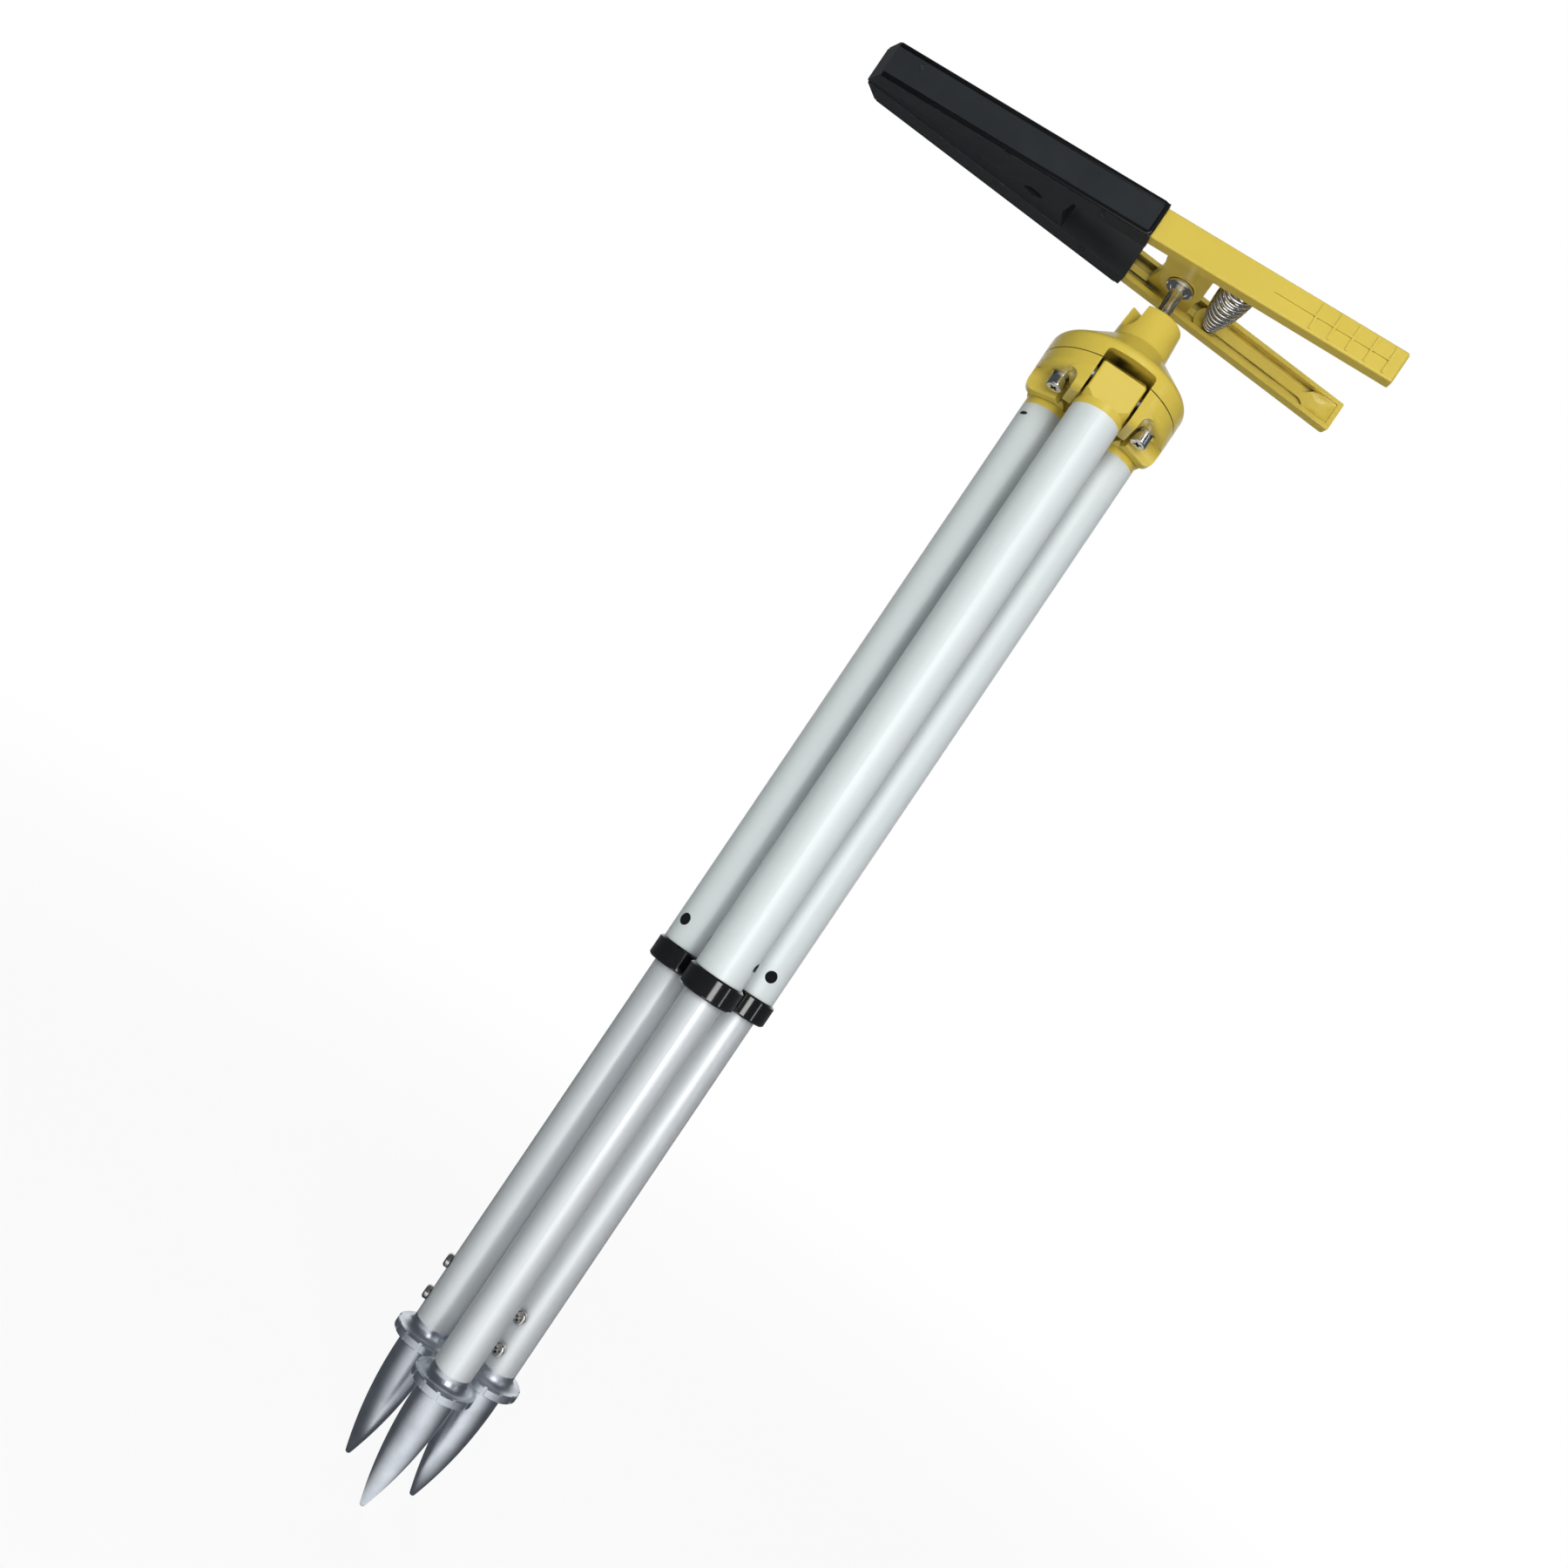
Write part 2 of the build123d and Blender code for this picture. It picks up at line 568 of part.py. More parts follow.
def build_head_base():
    """Lower casting: leg slots between deep cheeks, pin grooves, spot faces for the screws."""
    head_r = HEAD_OD / 2
    fork_r = head_r - CHEEK_INSET
    cheek = SLOT_WIDTH / 2 + CHEEK_WALL
    root = cheek + CHEEK_BLEND
    z_root = z_base + CHEEK_SINK
    z_foot = z_root - CHEEK_BLEND
    z_top = z_base + BASE_ROUND
    blend = CHEEK_BLEND * math.sqrt(0.5)
    edge = CHEEK_EDGE * (1 - math.sqrt(0.5))
    with BuildPart() as base:
        for angle in LEGS.values():
            with BuildSketch(facing(Plane.XY, angle).offset(slot_back)):
                with BuildLine():
                    for hand in (-1, 1):
                        Line((0, z_cheek), (hand * (cheek - CHEEK_EDGE), z_cheek))
                        ThreePointArc(
                            (hand * (cheek - CHEEK_EDGE), z_cheek),
                            (hand * (cheek - edge), z_cheek + edge),
                            (hand * cheek, z_cheek + CHEEK_EDGE),
                        )
                        Line((hand * cheek, z_cheek + CHEEK_EDGE), (hand * cheek, z_foot))
                        ThreePointArc(
                            (hand * cheek, z_foot),
                            (hand * (root - blend), z_foot + blend),
                            (hand * root, z_root),
                        )
                        Polyline((hand * root, z_root), (hand * cheek, z_top), (0, z_top))
                make_face()
            extrude(amount=head_r)
        with BuildSketch(Plane.XZ):
            with BuildLine():
                Polyline(
                    (fork_r - CHEEK_ROUND, z_cheek),
                    (0, z_cheek),
                    (0, z_parting),
                    (fork_r, z_parting),
                    (fork_r, z_cheek + CHEEK_ROUND),
                )
                CenterArc((fork_r - CHEEK_ROUND, z_cheek + CHEEK_ROUND), CHEEK_ROUND, 270, 90)
            make_face()
        revolve(axis=Axis.Z, mode=Mode.INTERSECT)
        with BuildSketch(Plane.XZ):
            with BuildLine():
                Polyline(
                    (head_r - BASE_ROUND, z_base),
                    (0, z_base),
                    (0, z_parting),
                    (head_r, z_parting),
                    (head_r, z_base + BASE_ROUND),
                )
                CenterArc((head_r - BASE_ROUND, z_base + BASE_ROUND), BASE_ROUND, 270, 90)
            make_face()
        revolve(axis=Axis.Z)
        with BuildSketch(Plane.XY.offset(z_cheek)):
            with PolarLocations(slot_back + head_r, len(LEGS), start_angle=LEGS["right"]):
                Rectangle(HEAD_OD, SLOT_WIDTH)
            with PolarLocations(HEAD_SCREW_CIRCLE, HEAD_SCREWS, start_angle=HEAD_SCREW_TURN):
                Circle(HEAD_SCREW_OD / 2 + SCREW_FIT)
            Circle(PRESSURE_SCREW_OD / 2 + SCREW_FIT)
        extrude(amount=z_parting - z_cheek, mode=Mode.SUBTRACT)
        with BuildSketch(Plane.XY.offset(z_cheek)):
            with PolarLocations(HEAD_SCREW_CIRCLE, HEAD_SCREWS, start_angle=HEAD_SCREW_TURN):
                Circle(FLAT_WASHER_OD / 2 + SPOT_FACE_FIT)
        extrude(amount=z_base - z_cheek, mode=Mode.SUBTRACT)
        with BuildSketch(Plane.XY.offset(z_parting - SEAM_HEIGHT)):
            Circle(HEAD_OD)
            Circle(head_r - SEAM_DEPTH, mode=Mode.SUBTRACT)
        extrude(amount=SEAM_HEIGHT, mode=Mode.SUBTRACT)
        for angle in LEGS.values():
            with BuildSketch(upright(leg_frame(angle))):
                with Locations((0, z_pin)):
                    Circle(pin_bore)
                with Locations((0, (z_pin + z_parting) / 2)):
                    Rectangle(2 * pin_bore, z_parting - z_pin)
            extrude(amount=PIN_LENGTH / 2 + PIN_END_GAP, both=True, mode=Mode.SUBTRACT)
    save(base, "head_base")


def build_head_cap():
    """Upper casting: rim, coned top and the boss with its socket and notch."""
    head_r = HEAD_OD / 2
    boss_r = BOSS_OD / 2
    mouth_r = math.sqrt(ball_bore**2 - SOCKET_MOUTH_RISE**2)
    notch_r = TILT_NOTCH_WIDTH / 2
    with BuildPart() as cap:
        with BuildSketch(Plane.XZ):
            with BuildLine():
                Polyline(
                    (0, z_parting),
                    (head_r, z_parting),
                    (head_r, z_rim),
                    (BOSS_ROOT_OD / 2, z_rim + BOSS_ROOT_RISE),
                    (boss_r, z_boss),
                    (0, z_boss),
                    close=True,
                )
            make_face()
        revolve(axis=Axis.Z)
        fillet(cap.edges().filter_by(GeomType.CIRCLE).group_by(Axis.Z)[-1], CAP_EDGE)
        fillet(cap.edges().filter_by(GeomType.CIRCLE).group_by(Axis.Z)[2], BOSS_BLEND)
        fillet(cap.edges().filter_by(GeomType.CIRCLE).group_by(Axis.Z)[1], CAP_ROUND)
        for angle in LEGS.values():
            with BuildSketch(facing(Plane.XY, angle).offset(slot_back)) as pocket:
                with Locations((0, z_parting + POCKET_HEIGHT / 2)):
                    Rectangle(SLOT_WIDTH, POCKET_HEIGHT)
                fillet(pocket.vertices().group_by(Axis.Y)[-1], POCKET_ROUND)
            extrude(amount=HEAD_OD, mode=Mode.SUBTRACT)
        with BuildSketch(Plane.XY.offset(z_parting)):
            with PolarLocations(HEAD_SCREW_CIRCLE, HEAD_SCREWS, start_angle=HEAD_SCREW_TURN):
                Circle(HEAD_SCREW_OD / 2 + SCREW_FIT)
        extrude(amount=HEAD_SCREW_BITE, mode=Mode.SUBTRACT)
        with BuildSketch(Plane.XZ):
            with BuildLine():
                Polyline((0, z_boss), (0, z_parting), (ball_bore, z_parting), (ball_bore, z_ball))
                CenterArc(
                    (0, z_ball),
                    ball_bore,
                    0,
                    math.degrees(math.asin(SOCKET_MOUTH_RISE / ball_bore)),
                )
                Polyline(
                    (mouth_r, z_ball + SOCKET_MOUTH_RISE),
                    (mouth_r + SOCKET_MOUTH_FLARE, z_boss),
                    (0, z_boss),
                )
            make_face()
        revolve(axis=Axis.Z, mode=Mode.SUBTRACT)
        with BuildSketch(facing(Plane.XY, TILT_NOTCH_TURN)):
            with Locations((0, z_ball)):
                Circle(notch_r)
            with Locations((0, (z_ball + z_boss) / 2)):
                Rectangle(TILT_NOTCH_WIDTH, BALL_DEPTH)
        extrude(amount=BOSS_OD, mode=Mode.SUBTRACT)
    save(cap, "head_cap")


def build_head_fasteners():
    """Screws, spring washers and flat washers that hold the two castings."""
    z_spring_washer = z_base - FLAT_WASHER
    z_head = z_spring_washer - SPRING_WASHER
    z_tip = z_parting + HEAD_SCREW_BITE - HEAD_SCREW_TIP_GAP
    z_crown = z_head - HEAD_SCREW_HEAD
    places = PolarLocations(HEAD_SCREW_CIRCLE, HEAD_SCREWS, start_angle=HEAD_SCREW_TURN)
    with BuildPart() as washers:
        with BuildSketch(Plane.XY.offset(z_spring_washer)):
            with places:
                Circle(FLAT_WASHER_OD / 2)
                Circle(HEAD_SCREW_OD / 2 + SCREW_FIT, mode=Mode.SUBTRACT)
        extrude(amount=FLAT_WASHER)
    save(washers, "head_flat_washers")
    with BuildPart() as spring_washers:
        with BuildSketch(Plane.XY.offset(z_head)):
            with places:
                Circle(SPRING_WASHER_OD / 2)
                Circle(HEAD_SCREW_OD / 2 + SCREW_FIT, mode=Mode.SUBTRACT)
                with Locations((SPRING_WASHER_OD / 4 + HEAD_SCREW_OD / 4, 0)):
                    Rectangle(SPRING_WASHER_OD / 2, SPRING_WASHER_SPLIT, mode=Mode.SUBTRACT)
        extrude(amount=SPRING_WASHER)
    save(spring_washers, "head_spring_washers")
    with BuildPart() as screws:
        with BuildSketch(Plane.XY.offset(z_crown)):
            with places:
                Circle(HEAD_SCREW_HEAD_OD / 2)
        extrude(amount=HEAD_SCREW_HEAD)
        fillet(screws.edges().group_by(Axis.Z)[0], HEAD_ROUND)
        with BuildSketch(Plane.XY.offset(z_head)):
            with places:
                Circle(HEAD_SCREW_OD / 2)
        extrude(amount=z_tip - z_head)
        with BuildSketch(Plane.XY.offset(z_crown)):
            with places:
                Rectangle(RECESS_SPAN, RECESS_WIDTH)
                Rectangle(RECESS_WIDTH, RECESS_SPAN)
        extrude(amount=RECESS_DEPTH, mode=Mode.SUBTRACT)
    save(screws, "head_screws")


def build_ball_parts():
    """Friction cup, disc springs and pressure screw below the ball."""
    cup_r = ball_bore - BALL_FIT
    rim_r = math.sqrt(ball_bore**2 - CUP_RIM_DROP**2)
    with BuildPart() as cup:
        with BuildSketch(Plane.XZ):
            with BuildLine():
                Polyline((0, z_ball - ball_bore), (0, z_cup), (cup_r, z_cup))
                Line((cup_r, z_cup), (cup_r, z_ball - CUP_RIM_DROP))
                Line((cup_r, z_ball - CUP_RIM_DROP), (rim_r, z_ball - CUP_RIM_DROP))
                CenterArc(
                    (0, z_ball),
                    ball_bore,
                    270,
                    math.degrees(math.acos(CUP_RIM_DROP / ball_bore)),
                )
            make_face()
        revolve(axis=Axis.Z)
    save(cup, "friction_cup")
    with BuildPart() as discs:
        for index in range(DISC_SPRINGS):
            low = z_disc + index * disc_pitch + DISC_SPRING_GAP / 2
            inner_lift = DISC_SPRING_RISE if index % 2 else 0
            outer_lift = DISC_SPRING_RISE - inner_lift
            with BuildSketch(Plane.XZ):
                with BuildLine():
                    Polyline(
                        (DISC_SPRING_BORE / 2, low + inner_lift),
                        (cup_r - BALL_FIT, low + outer_lift),
                        (cup_r - BALL_FIT, low + outer_lift + DISC_SPRING_THICKNESS),
                        (DISC_SPRING_BORE / 2, low + inner_lift + DISC_SPRING_THICKNESS),
                        close=True,
                    )
                make_face()
            revolve(axis=Axis.Z)
    save(discs, "disc_springs")
    z_screw = z_base + PRESSURE_SCREW_SINK
    with BuildPart() as screw:
        with BuildSketch(Plane.XY.offset(z_screw)):
            Circle(PRESSURE_SCREW_OD / 2)
        extrude(amount=z_disc - z_screw)
        with BuildSketch(Plane.XY.offset(z_screw)):
            RegularPolygon(PRESSURE_SCREW_SOCKET / 2, 6, major_radius=False)
        extrude(amount=PRESSURE_SCREW_SOCKET_DEPTH, mode=Mode.SUBTRACT)
    save(screw, "pressure_screw")


def build_stud():
    """Ball stud with the collar under the clamp, pivot washer and pivot nut."""
    stud_r = STUD_OD / 2
    collar_r = STUD_COLLAR_OD / 2
    neck_angle = math.degrees(math.acos(stud_r / (BALL_OD / 2)))
    z_neck_top = z_ball + BALL_OD / 2 * math.sin(math.radians(neck_angle))
    z_stud_collar = z_lug - STUD_COLLAR
    z_tip = z_nut + PIVOT_NUT + STUD_TIP
    with BuildPart() as stud:
        with BuildSketch(Plane.XZ):
            with BuildLine():
                CenterArc((0, z_ball), BALL_OD / 2, -90, 90 + neck_angle)
                Polyline(
                    (stud_r, z_neck_top),
                    (stud_r, z_stud_collar - STUD_FLARE),
                    (stud_r + STUD_FLARE, z_stud_collar),
                    (collar_r - STUD_COLLAR_EDGE, z_stud_collar),
                    (collar_r, z_stud_collar + STUD_COLLAR_EDGE),
                    (collar_r, z_lug),
                    (stud_r, z_lug),
                    (stud_r, z_tip - STUD_COLLAR_EDGE),
                    (stud_r - STUD_COLLAR_EDGE, z_tip),
                    (0, z_tip),
                    (0, z_ball - BALL_OD / 2),
                )
            make_face()
        revolve(axis=Axis.Z)
    save(stud, "ball_stud")
    with BuildPart() as washer:
        with BuildSketch(Plane.XY.offset(z_lug_top)):
            Circle(PIVOT_WASHER_OD / 2)
            Circle(stud_r + SCREW_FIT, mode=Mode.SUBTRACT)
        extrude(amount=PIVOT_WASHER)
    save(washer, "pivot_washer")
    with BuildPart() as nut:
        with BuildSketch(Plane.XY.offset(z_nut)):
            RegularPolygon(PIVOT_NUT_FLATS / 2, 6, major_radius=False)
            Circle(stud_r + SCREW_FIT, mode=Mode.SUBTRACT)
        extrude(amount=PIVOT_NUT)
        corners = nut.edges().group_by(Axis.Z)[-1].filter_by(GeomType.LINE)
        chamfer(corners, PIVOT_NUT_EDGE)
    save(nut, "pivot_nut")


def arm_frame(hand):
    """Plane at the foot of an arm on the pivot axis, X along it to the handle.

    hand is -1 for the front arm and 1 for the rear one.
    """
    along = Vector(1, 0, 0).rotate(Axis.Z, hand * ARM_SPLAY)
    return Plane(origin=(0, 0, z_arm), x_dir=along, z_dir=(0, 0, 1))


def block(frame, x_range, y_range, z_range, mode=Mode.ADD):
    """Box between two corners given in a frame's own X, Y and Z."""
    size = [abs(ends[1] - ends[0]) for ends in (x_range, y_range, z_range)]
    middle = [(ends[0] + ends[1]) / 2 for ends in (x_range, y_range)]
    with BuildSketch(frame.offset(min(z_range))) as outline:
        with Locations(tuple(middle)):
            Rectangle(size[0], size[1])
    extrude(outline.sketch, amount=size[2], mode=mode)


def lug(frame, hand, z_range):
    """Ear from an arm to the pivot, rounded about the stud."""
    root = hand * (ARM_OFFSET - ARM_WEB)
    half = LUG_ROOT_WIDTH / 2
    end_r = LUG_END_OD / 2
    with BuildSketch(frame.offset(z_range[0])) as outline:
        Circle(end_r)
        Polygon((-half, root), (half, root), (end_r, 0), (-end_r, 0), align=None)
    extrude(outline.sketch, amount=z_range[1] - z_range[0])


def build_arm(name, hand, ears):
    """Channel arm with its ears, spring seat, inner rib and outer grip ribs."""
    frame = arm_frame(hand)
    outer = hand * ARM_OFFSET
    web = hand * (ARM_OFFSET - ARM_WEB)
    inner = hand * (ARM_OFFSET - ARM_DEPTH)
    proud = hand * (ARM_OFFSET + GRIP_RIB_PROUD)
    middle = ARM_HEIGHT / 2
    rib_top = ARM_OFFSET - ARM_WEB - ARM_RIB_PROUD
    boss_top = ARM_OFFSET - ARM_WEB - SPRING_BOSS_HEIGHT
    scoop = HANDLE_REACH - SCOOP_LENGTH
    flare = scoop - SCOOP_FLARE
    hollow = (-JAW_REACH + ARM_END_WALL, HANDLE_REACH - ARM_END_WALL)
    last_rib = HANDLE_REACH - GRIP_RIB_END_GAP
    with BuildPart() as arm:
        block(frame, (-JAW_REACH, HANDLE_REACH), (outer, inner), (0, ARM_HEIGHT))
        end_edges = arm.edges().filter_by(Axis.Z).sort_by(Axis(frame.origin, frame.x_dir))[-2:]
        fillet(end_edges.sort_by(Axis(frame.origin, frame.y_dir * hand))[-1], ARM_END_ROUND)
        long_edges = arm.edges().filter_by(Axis(frame.origin, frame.x_dir))
        fillet(long_edges.sort_by(Axis(frame.origin, frame.y_dir * hand))[-2:], ARM_EDGE)
        block(frame, hollow, (web, inner), (ARM_FLANGE, ARM_HEIGHT - ARM_FLANGE), Mode.SUBTRACT)
        with BuildSketch(facing(frame, 90 * hand).offset(rib_top)):
            with BuildLine():
                Polyline(
                    (-hand * flare, middle + ARM_RIB / 2),
                    (-hand * hollow[0], middle + ARM_RIB / 2),
                    (-hand * hollow[0], middle - ARM_RIB / 2),
                    (-hand * flare, middle - ARM_RIB / 2),
                )
                Spline(
                    (-hand * flare, middle - ARM_RIB / 2),
                    (-hand * scoop, ARM_FLANGE),
                    tangents=((-hand, 0), (-hand, 0)),
                )
                Polyline(
                    (-hand * scoop, ARM_FLANGE),
                    (-hand * hollow[1], ARM_FLANGE),
                    (-hand * hollow[1], ARM_HEIGHT - ARM_FLANGE),
                    (-hand * scoop, ARM_HEIGHT - ARM_FLANGE),
                )
                Spline(
                    (-hand * scoop, ARM_HEIGHT - ARM_FLANGE),
                    (-hand * flare, middle + ARM_RIB / 2),
                    tangents=((hand, 0), (hand, 0)),
                )
            make_face()
        extrude(amount=ARM_RIB_PROUD)
        for ear in ears:
            lug(frame, hand, (ear[0] - z_arm, ear[1] - z_arm))
        if hand < 0:
            root = LUG_ROOT_WIDTH / 2
            seat = SPRING_SEAT_OD / 2
            block(frame, (-root, root), (web, inner), (0, ARM_HEIGHT))
            block(frame, (SPRING_REACH - seat, SPRING_REACH + seat), (web, inner), (0, ARM_HEIGHT))
            lip = LUG_BOTTOM_RISE - LUG_LIP_PROUD
            ring = (LUG_LIP_OD - LUG_LIP) / 2
            block(frame, (-LUG_LIP / 2, LUG_LIP / 2), (inner, -ring), (lip, LUG_BOTTOM_RISE))
            with BuildSketch(frame.offset(lip)):
                Circle(LUG_LIP_OD / 2)
                Circle(LUG_LIP_OD / 2 - LUG_LIP, mode=Mode.SUBTRACT)
            extrude(amount=LUG_LIP_PROUD)
        else:
            with BuildSketch(facing(frame, 90).offset(boss_top)):
                with Locations((-SPRING_REACH, middle)):
                    Circle(SPRING_BOSS_OD / 2)
            extrude(amount=SPRING_BOSS_HEIGHT)
        for index in range(GRIP_RIBS):
            spot = last_rib - index * GRIP_RIB_PITCH
            block(
                frame,
                (spot - GRIP_RIB_WIDTH / 2, spot + GRIP_RIB_WIDTH / 2),
                (outer, proud),
                (middle - GRIP_RIB_HEIGHT / 2, middle + GRIP_RIB_HEIGHT / 2),
            )
        block(
            frame,
            (last_rib - GRIP_LINE_LENGTH, last_rib),
            (outer, proud),
            (middle - GRIP_LINE_WIDTH / 2, middle + GRIP_LINE_WIDTH / 2),
        )
        with BuildSketch(frame):
            Circle(STUD_OD / 2 + PIVOT_FIT)
        extrude(amount=ARM_HEIGHT, mode=Mode.SUBTRACT)
    save(arm, name)


def build_sleeve(name, hand):
    """Black boot over a jaw: wedge pad to the middle, hollow for a thin rod."""
    frame = arm_frame(hand)
    tip = -JAW_REACH - SLEEVE_NOSE
    end = tip + SLEEVE_LENGTH
    outer = hand * (ARM_OFFSET + SLEEVE_WALL + SLEEVE_FIT)
    inner = hand * (ARM_OFFSET - ARM_DEPTH - SLEEVE_WALL - SLEEVE_FIT)
    low = -SLEEVE_WALL - SLEEVE_FIT
    pad = hand * PAD_GAP / 2
    outline = [
        frame.from_local_coords((tip + SLEEVE_TIP_SLANT, outer, 0)),
        frame.from_local_coords((end, outer, 0)),
        frame.from_local_coords((end, inner, 0)),
        frame.from_local_coords((tip + PAD_LENGTH + PAD_END_SLOPE, inner, 0)),
    ]
    tip_x = frame.from_local_coords((tip, outer, 0)).X
    pad_end = tip_x + PAD_LENGTH
    hollow_start = tip_x + PAD_HOLLOW_START
    hollow_end = hollow_start + PAD_HOLLOW_LENGTH
    hollow_mid = ((hollow_start + hollow_end) / 2, pad + hand * PAD_HOLLOW_DEPTH)
    cavity_x = (-JAW_REACH - SLEEVE_FIT, end)
    cavity_y = (
        hand * (ARM_OFFSET + SLEEVE_FIT),
        hand * (ARM_OFFSET - ARM_DEPTH - SLEEVE_FIT),
    )
    with BuildPart() as sleeve:
        with BuildSketch(Plane.XY.offset(z_arm + low)):
            with BuildLine():
                Polyline(*[(point.X, point.Y) for point in outline], (pad_end, pad), (hollow_end, pad))
                ThreePointArc((hollow_end, pad), hollow_mid, (hollow_start, pad))
                Polyline(
                    (hollow_start, pad),
                    (tip_x, pad),
                    (outline[0].X, outline[0].Y),
                )
            make_face()
        extrude(amount=ARM_HEIGHT - 2 * low)
        long_edges = sleeve.edges().filter_by(Axis(frame.origin, frame.x_dir))
        fillet(long_edges.sort_by(Axis(frame.origin, frame.y_dir * hand))[-2:], SLEEVE_EDGE)
        block(frame, cavity_x, cavity_y, (-SLEEVE_FIT, ARM_HEIGHT + SLEEVE_FIT), Mode.SUBTRACT)
        for face in (low, ARM_HEIGHT - low - PAD_STEP):
            block(frame, (tip - PAD_LENGTH, end), (inner, -inner), (face, face + PAD_STEP), Mode.SUBTRACT)
    save(sleeve, name)


def spring_ends():
    """Where the axis of the spring starts at the front seat and ends at the rear one."""
    splay = math.radians(ARM_SPLAY)
    seat = ARM_OFFSET - ARM_DEPTH
    boss = ARM_OFFSET - ARM_WEB - SPRING_BOSS_HEIGHT
    front = seat / math.cos(splay) + (SPRING_REACH + spring_wide_r) * math.tan(splay)
    rear = boss / math.cos(splay) + (SPRING_REACH + spring_narrow_r) * math.tan(splay)
    inset = (SPRING_WIRE / 2 + SPRING_SEAT_GAP) / math.cos(splay)
    return inset - front, rear - inset


def spring_point(turn):
    """Middle of the spring's wire after a number of turns from the front seat."""
    start, end = spring_ends()
    wide_pitch = 4 * spring_wide_r * math.tan(math.radians(ARM_SPLAY))
    open_pitch = (end - start - wide_pitch - SPRING_END_PITCH) / (SPRING_TURNS - 2)
    seat_turns = min(turn, 1)
    end_turns = max(turn - SPRING_TURNS + 1, 0)
    open_turns = turn - seat_turns - end_turns
    travel = seat_turns * wide_pitch + open_turns * open_pitch + end_turns * SPRING_END_PITCH
    taper = min(turn / (SPRING_TURNS - 1), 1) ** SPRING_TAPER
    radius = spring_wide_r + (spring_narrow_r - spring_wide_r) * taper
    angle = 2 * math.pi * turn
    return Vector(
        SPRING_REACH + radius * math.cos(angle),
        start + travel,
        z_arm_middle + radius * math.sin(angle),
    )


def spring_way(turn):
    """Direction in which the wire runs on after a number of turns."""
    step = 0.01
    before = spring_point(max(turn - step, 0))
    after = spring_point(min(turn + step, SPRING_TURNS))
    return (after - before).normalized()


def two_arcs(start, start_way, end, end_way):
    """Two arcs that leave one point its own way and reach another its own way."""
    span = end - start
    along = span.dot(start_way + end_way)
    bend = 2 * (1 - start_way.dot(end_way))
    reach = (math.sqrt(along**2 + bend * span.dot(span)) - along) / bend
    joint = (start + end + (start_way - end_way) * reach) * 0.5
    joint_way = (end - end_way * reach) - (start + start_way * reach)
    TangentArc(start, joint, tangent=start_way)
    TangentArc(joint, end, tangent=joint_way.normalized())


def spring_gap():
    """Least gap between neighbouring turns of the spring, measured on points."""
    steps = 48
    points = [spring_point(index / steps) for index in range(SPRING_TURNS * steps + 1)]
    least = math.inf
    for index, point in enumerate(points):
        for other in points[index + steps // 2 :]:
            least = min(least, (other - point).length)
    return least - SPRING_WIRE


def build_clamp_spring():
    """Conical spring of round wire between the two handles."""
    with BuildPart() as spring:
        with BuildLine() as wire:
            for half_turn in range(2 * SPRING_TURNS):
                turn = half_turn / 2
                two_arcs(
                    spring_point(turn),
                    spring_way(turn),
                    spring_point(turn + 0.5),
                    spring_way(turn + 0.5),
                )
        with BuildSketch(Plane(spring_point(0), z_dir=spring_way(0))):
            Circle(SPRING_WIRE / 2)
        sweep(path=wire.wire())
    save(spring, "clamp_spring")
    print(f"clamp_spring least gap to itself {spring_gap():.2f} mm")


for leg_side, leg_angle in LEGS.items():
    leg_plane = leg_frame(leg_angle)
    build_foot(leg_side, leg_plane)
    build_foot_screws(leg_side, leg_plane)
    build_lower_tube(leg_side, leg_plane)
    build_lock_plug(leg_side, leg_plane)
    build_lock_sleeve(leg_side, leg_plane)
    build_guide_bush(leg_side, leg_plane)
    build_upper_tube(leg_side, leg_plane)
    build_knuckle(leg_side, leg_plane)
    build_hinge_pin(leg_side, leg_plane)

build_head_base()
build_head_cap()
build_head_fasteners()
build_ball_parts()
build_stud()
lower_ear = (z_lug, z_lug + OUTER_EAR)
inner_ear = (z_inner_ear, z_inner_ear + INNER_EAR)
upper_ear = (z_upper_ear, z_lug_top)
build_arm("front_clamp_arm", -1, (lower_ear, upper_ear))
build_arm("rear_clamp_arm", 1, (inner_ear,))
build_sleeve("front_jaw_sleeve", -1)
build_sleeve("rear_jaw_sleeve", 1)
build_clamp_spring()
print(f"height {z_nut + PIVOT_NUT + STUD_TIP:.1f} mm, leg travel {z_collar - z_seat:.1f} mm")
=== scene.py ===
"""Leveling staff tripod: finishes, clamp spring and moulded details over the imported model."""

import logging
import math
from dataclasses import dataclass, field
from enum import Enum

import bmesh
import bpy
from bpy.types import Material, Node, NodeSocket, NodeTree, Object
from mathutils import Matrix, Vector


